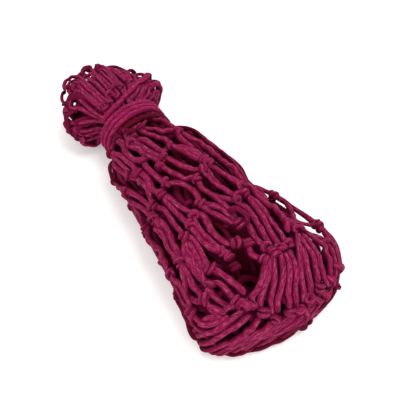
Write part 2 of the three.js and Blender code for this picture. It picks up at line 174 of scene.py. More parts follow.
# ---------------------------------------------------------------- tables of cord runs
# Each entry is a label, a colon and the run's points, x y z, ended by a semicolon.
# Labels: "body 206" starts at 206 degrees round the neck, "foot tuck" ends under the bundle,
# "head neck" ends in the neck, round the side its last point is on, "head dive" ends by going
# down between its neighbours. Other runs are laid just as they are.
RUNS = """
body 206: 47.4 -50.7 34.4, 47.3 -51 21.2, 59.4 -54 22.7, 74.1 -54.6 30.4, 91.7 -56.1 39.1,
  98.8 -57.3 36.8, 107.9 -58.5 35.9, 121.4 -60.2 36.7, 136.8 -62.5 39.3, 142.2 -64.4 30.8,
  155.3 -66.8 30.3, 168.7 -69 30.8, 190.1 -71.5 39.9, 199.3 -74.2 35.2, 212.4 -76.8 34.3,
  223.9 -78.5 35.5, 232.7 -79 39.2;
body 190: 59.5 -51.5 45.9, 75.1 -50.6 49.4, 86.8 -49.2 52, 97 -45.7 55.6, 108.8 -45.8 56,
  119.5 -47.7 55, 131.1 -50.6 54, 142 -46.5 57.3, 153 -48 56.8, 163.5 -48.6 56.7,
  175.9 -49.8 56.7, 185.2 -54.1 54.8, 200.5 -57.6 53.8, 213.6 -59.2 53.3, 227.2 -58.9 53.7;
body 175: 41.4 -44.5 43, 65.2 -48.1 52.1, 76.4 -48 52.5, 85 -47.6 53.4;
body: 84 -54.7 41.3, 94.7 -55.4 43, 104.1 -54.7 47, 115.4 -53.6 50, 129 -53.4 51.3,
  136.7 -55.7 50.4, 140.3 -57.3 49.9, 145.5 -54.3 52.6, 155.1 -54.8 53, 166.6 -57.1 52.5,
  177.9 -59.2 52, 192.7 -63.7 50.1, 197.6 -66.2 48.2, 208.2 -69.7 46.4, 217.4 -74.1 43.2,
  226.6 -76.2 41.8, 232.7 -79 39.2;
body: 76.6 -54.8 31.3, 88.7 -56.1 33.1, 107 -58 39.9, 121.3 -57.2 46, 135.1 -57.1 49,
  141.9 -57.9 49, 155.3 -59.4 49.8, 164.5 -59.7 50.2, 174.1 -61.3 49.7, 189.9 -63.6 49.6;
body: 141.3 -63.2 40.6, 148.8 -65.3 38, 161.7 -66.5 41.4, 177.7 -68.8 41.3, 187 -71.2 39.5;
body: 145.7 -60.6 46.7, 157.3 -59.5 49.8, 168.8 -61.7 49.3, 183.4 -64.5 48.3, 192.7 -63.7 50.1;
body 146: 38.2 -34.5 51.6, 51.7 -37.7 57, 65.7 -39.5 59.4, 77.8 -37.8 60.3, 85.3 -34.2 61.7,
  93.9 -34.7 61.2, 105.3 -33.6 61.7, 117.2 -31.6 62.1, 121 -30.3 62.1, 122.5 -26 63.1,
  129.1 -20.6 64, 138.2 -16.6 64, 149.4 -16.7 63.5, 158.5 -20 63, 163.2 -14.3 63.5,
  172.2 -7.7 63, 179.4 -4.8 62.5, 189.4 -5.2 62.5, 192.9 -4.6 62, 197.7 1.3 62,
  213.3 -2.3 61.5, 228.7 -2.5 61;
body 160: 45.9 -46.3 46.9, 55.8 -44.5 53.9, 71.5 -42.9 57.1, 85.3 -42.3 57.5, 89.8 -42.3 57.9,
  99.8 -40.3 59.3, 112.7 -42.1 58.3, 125.1 -41.6 58.3, 127.7 -40.2 59.2, 135.1 -37 60.6,
  146.2 -36.4 61.1, 155.1 -34.4 61.6, 162.7 -31.7 61.5, 163.6 -30.7 62, 168.1 -24.6 62.5,
  177 -26 62, 187.7 -28.9 61.5, 197.1 -27.6 61.5, 207.8 -24.9 61, 210.3 -20.5 61.5,
  211.6 -13.3 61.5, 216.1 -10.8 61.5, 226 -15.3 61, 234.4 -11.1 60.5;
body 132: 60.4 -33.4 62.3, 69 -30.5 63.2, 80.4 -27.5 64.1, 93.9 -23.9 64.6, 101.5 -24.7 64.1,
  107.1 -22.6 64, 117.5 -18.4 64.5, 126.9 -13.8 64.5, 130.9 -7.2 64.5, 132.8 -6.9 64.5,
  145.6 -8.1 64, 160.5 -4.9 63.5, 171.4 -2.8 63, 181.5 -3.7 62.5, 188 -4.2 62.5, 192.9 -4.6 62;
body: 132.8 -6.9 64.5, 142.9 -7.9 64, 155.4 -3.9 63.5, 164.1 0.8 63, 171.4 6.5 62, 173.2 8.9 62;
body 119: 58.7 -29.1 63.3, 70.7 -27 64.6, 83.1 -23.8 65.1, 95.3 -15.4 65.5, 101.3 -13.5 65.5,
  112.1 -9.6 65, 119.9 -6.4 65, 125.1 1.7 64.5, 126.7 3.5 64.5, 140.6 3.5 63.5, 151.1 5.1 63,
  160.2 9 62, 167.1 12.2 61.5, 173.2 8.9 62, 185.3 11.8 61, 203.4 8.8 61, 220.9 4.8 60.5,
  234.7 1.1 60.6;
body 106: 56.2 -23.5 64.2, 61.6 -20.5 66, 74 -17.1 66, 85.7 -14.4 66, 86.8 -4.6 66.5,
  89.4 -1.4 66.5, 100.1 3.9 65.5, 112.3 7 64.5, 119.2 10.7 64, 119.3 12.5 63.5, 126.6 8.3 64,
  140.1 6.3 63.5, 151.4 7.7 62.5, 161.7 10.7 62, 169.7 21.6 59.1, 180.1 20.1 59.6,
  196.7 18.3 59.6, 216 13 60, 232.3 9.8 60;
body 92: 47.9 -14.9 62.6, 63.5 -10.8 66.5, 73.6 -5.7 66.5, 82.6 -3.5 66.5, 86.8 -4.6 66.5,
  93.2 5.7 65.5, 104.2 11.3 64.5, 114.6 11 64, 119.3 12.5 63.5, 128.6 15.4 62.6,
  136.9 17.8 61.6, 146.4 20.5 60.1, 157.9 21.1 59.6, 169.7 21.6 59.1, 179.3 25.1 58.1,
  197.1 24.7 58.1, 217.9 21.3 58.6, 235.4 17.9 58.6;
body 77: 46.8 -11.4 62.6, 60.2 -2.8 66.6, 67.4 5.5 66, 74 11.9 65.1, 82.8 9.6 65.5,
  95.4 12.6 64.5, 106.8 13.5 64, 116.9 15 63.6, 124 15.8 63.1, 133.7 17.2 62.1, 141.1 22.1 60.2,
  150.7 26.3 57.7, 163.8 30.2 56.3, 178.7 32.3 55.3, 196.5 34.2 54.8, 213.2 34.1 55.2,
  223.7 37.5 54.2;
body 60: 53.6 12.1 62.3, 67.8 15.1 64.1, 80.8 16.5 64.6, 90.9 21.1 62.6, 107.2 24.4 61.2,
  124 27 60.2, 134.9 30.9 57.3, 145.8 32 55.4, 161.3 34.3 53.9, 172.8 40.4 50.2;
body: 158.5 -20 63, 164.5 -19.5 63, 175.7 -15.6 63, 185 -11.6 62.5, 193.1 -7.9 62, 197.8 -7 62;
body: 163.6 -30.7 62, 171.5 -34.1 61.1, 182 -35.6 60.6, 192.6 -34.7 60.5, 200.9 -33.9 60.5,
  208.8 -31.8 60.5, 212.6 -31.3 60.5;
body: 127.7 -40.2 59.2, 135.9 -41.1 59.2, 147.4 -41.3 59.7, 158.8 -40.7 59.6, 170.6 -40 59.6,
  177.9 -40 59.6, 189.6 -40.3 59.6, 199.3 -39.4 59.6, 205.8 -36.3 60, 212.6 -31.3 60.5;
body: 175.9 -49.8 56.7, 178.3 -45.9 58.1, 184.3 -44.8 58.1, 193.8 -46.1 58.1, 203.9 -48.6 57.1,
  213.1 -49.9 56.6, 216.3 -49.6 57.1, 225.6 -45.3 58.1, 236 -43.3 57.7, 244.1 -40.7 55.7,
  250.6 -39.5 53.7;
body: 181.3 -49.4 56.7, 195.7 -51.9 56.2, 203.9 -52.9 55.7, 214.7 -53.4 55.7, 216.3 -49.6 57.1;
body: 175.9 -49.8 56.7, 189.4 -54.2 54.8, 203 -56.8 54.3, 216.7 -58.6 53.7, 227.2 -58.9 53.7,
  227.4 -52.4 56.1, 234.3 -51.5 56.1, 241.2 -50.3 54.2, 247.6 -48.9 52.7, 251.2 -48.5 52.2;
body: 227.2 -58.9 53.7, 231.6 -61.4 52.7, 235.5 -61.6 52.8, 244.1 -58.7 50.8, 251 -56.2 49.8,
  253.5 -51.2 50.7;
body: 227.2 -58.9 53.7, 230.2 -62.8 52.3, 233.7 -68 49.9, 238.4 -69 48.1, 246.6 -66.1 47,
  253.3 -60.4 47.4;
body: 192.7 -63.7 50.1, 203.7 -64.9 49.6, 218 -67.7 49, 227.8 -67.7 49.5, 233.7 -68 49.9;
body: 190.1 -71.5 39.9, 203.4 -72.9 41.1, 220.4 -74.6 42.7, 231.7 -72.9 46.2, 233.7 -68 49.9;
foot: 236.3 -9.5 60.1, 241.4 -13.1 58.6, 247.1 -18.9 57.1, 251.4 -25.8 55.1, 254 -33.9 53.6,
  255.5 -41.3 52.2, 257 -46.3 50.7;
foot: 233.2 -2.7 60.5, 239.5 -6.8 59.1, 245.5 -12.4 57.6, 251 -19.2 55.6, 256.6 -26.4 54.1,
  260.2 -32.3 51.2, 263.8 -35.3 47.7;
foot: 236.8 -0.7 60.1, 244.8 -5.4 57.6, 253.2 -11.6 55.6, 258.7 -18.1 53.5, 262.7 -23.2 50.2,
  266.8 -27 46.7, 272.2 -27.8 40.1;
foot: 235.1 6.5 60.1, 243.6 3.3 58.1, 251.6 -1.3 55.6, 258.4 -8 54.3, 263.1 -13.7 50.2,
  267.8 -19 46.3, 272.8 -22.6 40.1;
foot: 238.1 11 58.6, 247.7 7.6 56.6, 255.6 2.4 54.6, 262.2 -3.8 51.2, 268.7 -9 45.5,
  275.6 -12.9 37.8;
foot: 238 14.1 58.6, 248.4 12.5 56.1, 257.2 8.2 54.1, 262.9 2.8 50.2, 269 -1.9 45,
  275.4 -4.9 38.2;
foot: 227.2 33.8 55.2, 239.8 24.6 56.1, 250.7 17.5 54.6, 258.5 12.2 53.3, 264.6 8.5 48.7,
  270.7 6.3 42.5, 275.9 1.6 37.4;
foot: 240.1 26.6 56.1, 250 23.6 54.1, 258.4 18.6 52.8, 264.8 16.2 47.7, 270.4 14.2 42.1,
  276.5 10.3 34.6;
foot: 230.9 33.3 55.6, 243 31.5 54.2, 252.4 30.9 52.2, 259.7 26.7 50.2, 266.3 24.3 45.3,
  272.1 22 38.8;
foot: 230.2 37.6 54.2, 241.4 38.2 52.2, 251.1 37.3 50.7, 258.5 34 50, 264.6 32 44.8,
  270.6 30 38.4, 273.5 29.2 33.2;
foot: 229.3 42.8 51.8, 239.8 46.1 49.4, 250.1 46.4 47.3, 258.6 42.9 47.2, 265.2 40.2 41.5,
  270.3 37.5 34.8, 273.7 35 28.7;
foot: 230.6 48.2 49, 237.7 53.2 45.2, 248.9 54 43.2, 258.4 50.2 44.1, 264.3 47.3 38.8,
  269.4 43.9 32.6, 271.7 42.9 19.7;
foot: 226.9 59.6 43.2, 237.4 61.1 40.5, 248.6 60.4 38.4, 258.7 55 40.8, 264.7 51.9 34.2,
  268 50.9 24, 272.5 45.4 17.4;
foot tuck: 250.6 -48.1 52.2, 250 -59 48.8, 248.6 -69.1 44.6, 245.3 -73.5 41.9;
foot tuck: 258.8 -48.4 49.2, 258.4 -59.2 46.1, 257.7 -69.1 41.2, 255.1 -75.3 35.6,
  251.2 -77.4 31.7;
foot tuck: 263.8 -44.8 45.8, 264 -54.6 42, 262.7 -65 38.4, 259.3 -74.5 31.5, 256.6 -76.6 24.4;
foot tuck: 268.8 -37.6 42.2, 270.2 -46.6 38, 268.7 -58 33.5, 265.8 -68 27.7, 260.1 -75.2 17.2;
foot tuck: 275 -29.8 36.4, 274.4 -40 33.1, 272.8 -50.5 29.6, 269.8 -60.9 24.9, 265.2 -69.5 16.6;
foot tuck: 275.3 -21.6 37.3, 276.5 -30.7 32.9, 275.7 -40.9 29.2, 273.9 -50.1 26,
  270.8 -58.5 21.6, 267.7 -65.8 17.5;
foot tuck: 277.5 -12.5 34.5, 278.3 -23.3 30.8, 277.5 -33.7 28.2, 275.8 -44.5 26, 273 -53.6 21.9;
foot tuck: 278.1 -5.2 34, 279.9 -15.7 29.6, 279.5 -26.5 26.7, 277.8 -36.4 25, 275.4 -46.8 24.2;
foot tuck: 278.5 8.5 31.6, 281.4 0.7 27.4, 281.9 -11.1 25.7, 281.2 -22 24.1, 279.3 -31.5 22.1;
foot tuck: 275.1 19.9 35, 278.8 13.6 28.9, 281.6 3.6 26.5, 282.5 -6.5 24.6, 281.8 -16.6 24,
  280.6 -25.2 23.5;
foot tuck: 274.8 31.3 29.1, 277.9 24.4 24, 281.1 12.7 22.5, 283.3 0.7 22.5, 282.9 -9.4 22.1;
foot tuck: 268.8 51.2 6.5, 273.5 40.3 5.8, 278.6 24.1 11.5, 282.3 9.2 18.7, 283.2 -3.1 23.5;
foot: 232.7 -79 39.2, 236.3 -79.1 38.3, 242.2 -78.2 36.5, 249.2 -74.7 38.8, 252.5 -69 43.1,
  255.4 -60 46.9;
foot: 223.9 -78.5 35.5, 230.7 -80.2 31.1, 237.4 -80.6 26.8, 246.3 -78.7 27.9, 254.8 -76.1 33.6;
foot: 233.7 -68 49.9, 239.4 -67.8 48, 246.6 -67 46.5, 253.5 -64.2 45.5;
head neck: -54.4 -43.2 55.5, -63.3 -37.8 55.2, -66.7 -30.1 55.6, -64.9 -22.8 56.9,
  -60 -20.8 56.1, -45.8 -21 58.6, -30.9 -20.3 59.5, -18.2 -18.9 58.5, -11.1 -16 58;
head neck: -60.4 -25 55.2, -45.5 -24.7 58.1, -30.6 -24 59, -18.4 -22.3 58.1, -9 -20.7 57.1,
  -0.1 -18.7 55.7;
head neck: -58.6 -31.8 52.9, -51.2 -29.7 55.7, -36.8 -29.5 57.6, -22.5 -27.9 57.6,
  -11.5 -25.3 56.6, -2.9 -22.4 55.7;
head neck: -49.7 -35 54.3, -42.4 -32.3 56.6, -28.7 -31.3 57.6, -15.6 -29.1 56.6, 0.8 -24.6 53.9;
head neck: -42 -41 52.9, -36.1 -38.8 54.8, -22.1 -37.1 54.8, -10.5 -35 53.4, 0.6 -30.1 50.4;
head neck: -57.1 -20 57.1, -77.4 -8.4 48, -74 -4.8 52.8, -63.6 -4.6 57.1, -50.8 -6.8 59,
  -34.9 -8.4 60.5, -22.8 -8.3 60, -10.2 -7.7 58.5, -1.4 -9.3 57.5;
head neck: -56.7 -16.3 57.6, -44.5 -14.7 59.5, -32.4 -14.2 60, -20.4 -14.1 59.5, -9.4 -13.5 58,
  -0.7 -13.1 57.1;
head neck: -64.7 -3.4 56.5, -68.2 1.8 56.6, -66 6.2 56.6, -59.7 8.4 56.1, -44.3 6.6 59,
  -29.4 5.6 60.5, -20.5 6.3 59.5, -10.5 3.9 58.5;
head neck: -55.7 -5.2 58, -40.8 -5.1 60, -27.9 -4.4 60.5, -19.8 -3 59.5, -8.5 -3.4 58.5,
  -1.2 -5.1 57.5;
head neck: -61 7.7 56.1, -63.4 15.5 53.4, -60.2 21.1 52.7, -54.4 24.8 51.1, -40.9 26 54.3,
  -33.6 27.4 55.3, -23.1 23.6 56.7, -14.4 15.8 57.1;
head neck: -56.9 12.2 55.7, -42.8 12.8 58.1, -30 13 59.5, -21.2 13.7 58.6, -12.4 10.3 58.1,
  -6.7 5.1 57.6;
head neck: -34.9 27.6 54.8, -35.2 35.3 50.7, -29 39.1 50.2, -25.6 38.7 49.7, -18.9 34.2 50.6,
  -10.1 25 53, -0.5 15.6 53.9;
head neck: -21.1 36 50.2, -25.2 42.6 46.1, -27.3 48 39.5, -23.4 46.6 37.8, -16.7 46.5 37.1,
  -13.6 45.7 36, -9.7 39.5 34.7, 0.6 29.5 39.2;
head neck: -17.7 24.6 54.8, -8.6 15.7 56.2, 1.8 1.9 57;
head neck: -16.1 28.8 52.9, -6.1 19.1 54.3, 2 10 55.2;
head neck: -16.8 35.8 48.3, -6.6 27.6 49.4, 4.5 17.5 51.1;
head neck: -15.7 40.8 42.1, -6.3 32.9 43.6, 2.8 23.7 45.9;
head neck: -69.1 -37.6 42.4, -62 -42.9 42.6, -53.5 -47.8 41.7, -39.8 -51.5 45.2,
  -36.5 -54.2 42.5, -28.6 -56 42.5, -25.4 -56.5 38.6, -24.7 -57.4 32, -24.4 -57.3 26.6,
  -19.6 -55.2 27;
head: -61.4 -38.1 48.3, -46.9 -40.5 52, -39 -44 51.5, -35.4 -48.2 49.2, -36.5 -50.9 46.5;
head neck: -36.6 -49.9 47.8, -28.5 -46.6 51.5, -22.8 -42.9 52.4, -14.3 -39.7 51.9,
  -0.8 -32 49.5;
head neck: -25.2 -56.1 39.5, -16.9 -51.6 41.2, -11 -46.3 44.9, -0.8 -32.9 49.5;
head neck: -24.2 -57.2 29.7, -17.2 -54.1 35.1, -12.7 -52.1 35.1, 10.3 -36.1 37.3;
head neck: -19.1 -55.3 27.9, -13.3 -52.8 24.3, -9.7 -50.1 21.4, 12.9 -36.9 23.6;
head neck: -15.8 -53.8 31, -10.2 -50.4 28.7, 13.6 -36.8 32.8;
head dive: -62.9 -36 49.2, -52.4 -33.6 53.8, -43.4 -35.8 55.2, -41.1 -39.7 53.8;
head neck: -49.3 23.2 53.4, -30.9 18.9 58.1, -22.1 18.6 57.6, -17.1 18.3 57.1;
head neck: -58.3 -0.3 57.5, -41.7 -0.1 60, -27.5 0.7 60.5, -20.2 2.6 59.5, -8.9 2.1 58.5;
head dive: -58.4 -39.2 48.8, -63.1 -34.9 51.2, -62.9 -29.3 52.8, -56 -27.3 55.2, -43.1 -27 58.1;
head dive: -59.4 -38.8 52.7, -65.4 -32 52.4, -66.1 -25.5 52.4, -55.9 -24.3 56.1,
  -44.6 -24.3 58.6;
head neck: -61.3 -2.3 57, -61.2 4.3 56.6, -51 5.2 58.1, -34.9 4.1 60, -22.8 4.1 60, -13.3 3 59;
head neck: -55.8 6.4 57.1, -56.7 13 55.7, -47.6 15.4 56.7, -33.3 15.7 58.6, -24.3 15.6 58.6,
  -17.2 14 58.1;
head dive: -53.7 18.4 54.3, -43.2 20.1 56.2, -31.4 20.9 57.6, -22.2 19.6 57.6, -14.8 14.3 57.6;
head dive: -62.6 -15.9 56.6, -63.5 -10.1 57, -55.8 -9.6 58, -46.3 -10.1 59.5;
body: 177.2 48.9 45.3, 185.3 49.5 44.3, 196.2 50 43.3, 212.9 43.8 50.5, 221.1 41.4 52.3,
  223.7 37.5 54.2;
body: 170.3 38.9 51.1, 185 38.9 52, 200.7 38.8 52.9, 213.1 37.7 53.8, 222 35.9 54.7;
body: 161.3 34.3 53.9, 175 35.2 53.9, 192.5 35.1 54.3, 208.7 33.4 55.2, 225.6 26 57.6;
lead: -24.7 39.7 55.3, -19.9 29.4 59.5, -11.5 14.7 62.1, -4.3 1.9 63.2, 0.7 -7.6 62.7,
  3.7 -17 61.1, 4.9 -26.4 56.8, 5.6 -33.2 52
"""
# Knots listed one by one, in the same form. The label is their size.
KNOTS = """
0.8: 45.6 -47.7 44.9, 38 -34.7 51.8, 60.3 -33.6 62.6, 58.5 -29.2 63.6, 56.1 -23.6 64.6,
  44.7 -21.3 61.1;
1: 86.8 -49.5 52.3, 89.8 -42.6 58.3, 85.3 -34.3 62.1, 101.6 -24.8 64.4, 95.3 -15.5 65.9,
  86.8 -4.6 66.9, 74 12 65.5, 91.7 -56.4 39.1, 140.3 -57.6 50.2, 131.1 -50.8 54.4,
  127.7 -40.3 59.6, 121.1 -30.4 62.5, 132.9 -6.9 64.9, 126.8 3.5 64.9, 119.3 12.6 63.9,
  124 15.9 63.4, 136.7 -62.9 39.4, 175.9 -50 57.1, 170.6 -40.1 60, 163.6 -30.8 62.4,
  158.5 -20.1 63.4, 173.2 9 62.4, 169.7 21.7 59.5, 190 -71.8 40.1, 192.7 -63.9 50.4,
  216.3 -49.7 57.5, 212.6 -31.4 60.9, 210.3 -20.6 61.9, 192.9 -4.6 62.4, 197.8 -7 62.4,
  220.4 -32.6 60.4, 177.1 49.2 45.5, 216.1 -10.8 61.9, 232.6 -79.3 39.4, 233.7 -68.2 50.3,
  227.2 -59.1 54.1, 234.4 -11.1 60.9, 228.7 -2.5 61.4, 234.8 1.1 60.9, 232.3 9.9 60.4,
  235.5 17.9 59, 223.6 37.6 54.6, 224.8 60.2 43.5, 251.3 -48.6 52.6, 258.3 -45.8 51.1,
  259.7 -39.9 51, 267.7 -35.3 45.2, 274.2 -28.7 38.4, 276.4 -13.9 37.1, 276.8 -5.2 36.7,
  276.6 8.6 35.7, 272.9 21.5 38, 269.9 48.3 12.2, -18.9 -11.8 59.9;
0.66: -8.5 -17 58.5, -23.3 -4.9 60.4, -10.2 -6.8 58.9, -26.1 33 53.7, -7.6 -23.4 57,
  -16.6 36 48.6, -52.1 -33.9 54.2, -71.7 -5.5 52.3, -35.5 -53.3 44.5, -25.4 -57.9 28.8,
  -16.9 -54.3 35.1, -19.2 2.5 59.9, -23.4 16.5 59, -65.6 2.8 55.9, -10.2 38.3 41.6;
0.8: 25.9 -32.3 46.3, 29.4 -22.9 53.6, 48.9 -13.8 63.5, 28.6 10.6 55
"""


def read_table(text):
    """Label and points of each entry."""
    for entry in text.split(";"):
        label, points = entry.split(":")
        yield label.strip(), np.array([point.split() for point in points.split(",")], float)


# ---------------------------------------------------------------- curves and vectors
def unit(v):
    return v / (np.linalg.norm(v) + 1e-9)


def unit_rows(v, tiny=1e-12):
    return v / (np.linalg.norm(v, axis=1)[:, None] + tiny)


def resample(path, step):
    along = np.concatenate([[0], np.cumsum(np.linalg.norm(np.diff(path, axis=0), axis=1))])
    count = max(3, int(round(along[-1] / step)) + 1)
    u = np.linspace(0, along[-1], count)
    return np.stack([np.interp(u, along, path[:, k]) for k in range(3)], 1)


def spline(points, step):
    """Centripetal Catmull-Rom through the points, resampled every step millimetres."""
    p = np.asarray(points, float)
    keep = [0]
    for i in range(1, len(p)):
        if np.linalg.norm(p[i] - p[keep[-1]]) > 0.8:
            keep.append(i)
    p = p[keep]
    p = np.vstack([2 * p[0] - p[1], p, 2 * p[-1] - p[-2]])

    def between(t, ta, tb, a, b):
        return (tb - t) / (tb - ta) * a + (t - ta) / (tb - ta) * b

    out = []
    for i in range(1, len(p) - 2):
        p0, p1, p2, p3 = p[i - 1 : i + 3]
        t0 = 0.0
        t1 = t0 + np.linalg.norm(p1 - p0) ** 0.5
        t2 = t1 + np.linalg.norm(p2 - p1) ** 0.5
        t3 = t2 + np.linalg.norm(p3 - p2) ** 0.5
        count = max(2, int(np.linalg.norm(p2 - p1) / 0.7))
        t = np.linspace(t1, t2, count, endpoint=False)[:, None]
        a1 = between(t, t0, t1, p0, p1)
        a2 = between(t, t1, t2, p1, p2)
        a3 = between(t, t2, t3, p2, p3)
        b1 = between(t, t0, t2, a1, a2)
        b2 = between(t, t1, t3, a2, a3)
        out.append(between(t, t1, t2, b1, b2))
    out.append(p[-2][None])
    return resample(np.vstack(out), step)


def wave(count, scale, seed):
    """Smooth random run of values, in about -1..1."""
    k = max(4, int(count / scale) + 4)
    c = np.random.default_rng(seed).uniform(-1, 1, k)
    u = np.linspace(0, k - 2, count)
    i = u.astype(int)
    f = u - i
    f = f * f * (3 - 2 * f)
    return c[i] * (1 - f) + c[np.minimum(i + 1, k - 1)] * f


# ---------------------------------------------------------------- cords and knots
@dataclass(eq=False)
class Cord:
    group: str
    path: np.ndarray
    radius: float
    layer: int  # 1 is outermost, 3 deepest
    free: float  # how readily neighbours push it
    anchor: float  # pull back to where it was laid
    fine: np.ndarray = None
    seed: int = 0


@dataclass(eq=False)
class Knot:
    at: np.ndarray
    size: float
    layer: int = 1
    owner: Cord = None
    path: np.ndarray = None
    seed: int = 0


cords = []
knots = []


def add_cord(group, points, radius, layer=1, free=1.0, anchor=0.09):
    """Lay a cord through the points, none of them nearer the floor than its radius."""
    points = np.array(points, float)
    points[:, 2] = np.maximum(points[:, 2], radius)
    cords.append(Cord(group, spline(points, LAID_STEP), radius, layer, free, anchor))


# ---------------------------------------------------------------- cords laid one by one
# Per group: radius, its random spread, free, anchor
LAID = {
    "body": (2.5, 0.1, 0.7, 0.16),
    "foot": (2.5, 0.1, 0.35, 0.35),
    "head": (1.95, 0.07, 0.35, 0.38),
    "lead": (3.0, 0, 0.05, 0.6),
}


def tucked(points):
    """Points that carry a run on round the foot's edge and in underneath."""
    level = np.array([1, 1, 0])
    end = points[-1]
    ahead = unit((end - points[-2]) * level)
    inward = unit((np.array([215.0, -14.0, 0]) - end) * level)
    drops = ((7, 1, max(end[2] * 0.62, 3.2)), (12, 5, max(end[2] * 0.3, 3.0)), (15, 14, 3.0))
    return [np.array([*(end + a * ahead + i * inward)[:2], z]) for a, i, z in drops]


def laid_points(group, ending, points):
    points = list(points)
    if group == "body" and ending:
        angle = math.radians(float(ending))
        start = ((8, 26.6), (20, 26.8), (31, 27.4))  # x, radius
        return [neck_at(x, angle, radius) for x, radius in start] + points
    if ending == "tuck":
        return points + tucked(points)
    if ending == "dive":
        points[-1] = points[-1] - np.array([0, 0, 5.0])
        onward = (points[-1] - points[-2]) * 0.5
        return points + [points[-1] + onward - np.array([0, 0, 4.0])]
    if ending == "neck":
        end = points[-1]
        outside = [p for p in points if p[0] < -8]
        if len(outside) < 2:
            outside = points[:2]
        angle = math.atan2(end[2] - NECK_Z, end[1] - NECK_Y)
        stations = ((-1, 27.4), (7, 26.4), (17, 26.0))  # x, radius
        return outside + [neck_at(x, angle, radius) for x, radius in stations]
    return points


for label, run in read_table(RUNS):
    group, _, ending = label.partition(" ")
    radius, spread, free, anchor = LAID[group]
    if spread:
        radius = radius + spread * rng.standard_normal()
    add_cord(group, laid_points(group, ending, run), radius, free=free, anchor=anchor)
laid_net = [c for c in cords if c.group != "lead"]

# ---------------------------------------------------------------- cords laid as netting
ROWS = [58, 90, 128, 165, 205, 240]  # stations of the rows of knots
DEEP_ROWS = [46, 72, 108, 147, 186, 224, 258]
DEEPEST_ROWS = [50, 88, 128, 165, 205, 240]
NECK_STATIONS = [10, 22, 33, 42]
TIE_PULL = 0.36  # how far a tied cord leaves its place, in spacings


def lattice(first, last, count, start, end, inset, radius, layer=1, rows=ROWS, jitter=1.2,
            tied=True, pit=0.0, sizes=(0.9, 1.05)):
    """Cords side by side from angle first to last, in degrees, that meet at alternate rows."""
    first, last = math.radians(first), math.radians(last)
    halfway = [(u + v) / 2 for u, v in zip(rows, rows[1:])]
    inside = [x for x in rows + halfway + NECK_STATIONS if start < x < end]
    stations = sorted({start, end, *inside})
    shift = rng.uniform(-5, 5, 64)
    for k in range(count):
        points = []
        for x in stations:
            place = (k + 0.5) / count
            if x in rows:
                row = rows.index(x)
                x = x + shift[(k + row) % 64]
                side = -1 if (k + row) % 2 else 1
                if 0 <= k + side < count:
                    place += side * TIE_PULL / count
                    if side > 0 and tied:
                        angle = first + (last - first) * ((k + 1.0) / count)
                        at = skin_point(x, angle, inset - 0.6)
                        knots.append(Knot(at, rng.uniform(*sizes), layer))
            angle = first + (last - first) * place
            p = skin_point(min(max(x, start), end), angle, inset + rng.uniform(-0.4, 0.8))
            p = p + rng.normal(0, jitter, 3) * np.array([0.6, 0.6, 0.35])
            if pit and p[2] > 30:
                p[2] -= pit * pit_shape(p[0], p[1], 22, 25)
            points.append(p)
        add_cord("body", points, radius, layer)


# flanks and underside: the low-y flank, its filling, the underside, the high-y flank
lattice(184, 224, 5, 8, 262, inset=3.8, radius=2.5, sizes=(0.6, 0.75))
lattice(175, 193, 3, 14, 250, inset=6.8, radius=2.5, layer=2, tied=False)
lattice(226, 314, 9, 8, 262, inset=3.2, radius=2.8, sizes=(0.8, 0.9))
lattice(318, 388, 7, 8, 236, inset=4.6, radius=2.5, tied=False)
# inner folds: the upper half, the lower half, and deep under the top
lattice(178, 2, 10, 10, 262, inset=12.5, radius=2.9, layer=2, rows=DEEP_ROWS, jitter=2.6, pit=26)
lattice(182, 358, 10, 10, 258, inset=10.2, radius=2.9, layer=2, rows=DEEP_ROWS, jitter=2.0,
        tied=False)
lattice(172, 8, 9, 30, 250, inset=21, radius=2.9, layer=3, rows=DEEPEST_ROWS, jitter=3.0,
        pit=30, tied=False)


# ---------------------------------------------------------------- foot, folded under itself
def roughened(points, spread, upright):
    scale = np.array([1, 1, upright])
    return [np.array(p) + rng.normal(0, spread, 3) * scale for p in points]


def sweep(from_angle, to_angle, from_z, to_z, inset):
    """A cord that follows the foot's edge, dropping towards the floor as it goes."""
    points = []
    for k in range(7):
        u = k / 6
        angle = from_angle + (to_angle - from_angle) * u
        z = from_z + (to_z - from_z) * u
        thick = float(profile(FOOT[0] + 40 * math.cos(angle))[2])
        under = 7.0 * max(0.0, 0.45 - z / max(thick, 20)) ** 1.5
        distance = reach(FOOT, angle) - inset - under
        if k in (0, 5, 6):
            distance -= 5.0
        if k == 6:  # the end tucks in under the bundle
            distance -= 12.0
        points.append([*toward(FOOT, distance, angle), z])
    add_cord("foot", points, 2.5, anchor=0.16)


def fan(angles, inset, top, radius, layer, turn=0.0):
    """Cords out from FOOT at np.linspace(*angles) degrees, over the edge and under the bundle.

    top holds the fractions of the way to the edge that each one passes on top.
    """
    for angle in map(math.radians, np.linspace(*angles)):
        edge = reach(FOOT, angle) - inset
        points = []
        for u in top:
            turned = angle + turn * (1 - u) + rng.normal(0, 0.02)
            x, y = toward(FOOT, u * edge, turned)
            points.append([x, y, max(float(top_z(x, y)) - inset, 3)])
        half = float(profile(toward(FOOT, edge, angle)[0])[2]) / 2
        for back, height in ((0.0, 0.80), (1.5, 0.5), (5, 0.26), (13, 0.13), (26, 0.09)):
            points.append([*toward(FOOT, edge - back, angle), max(height * half, radius)])
        add_cord("foot", roughened(points, 0.6, 0.5), radius, layer)


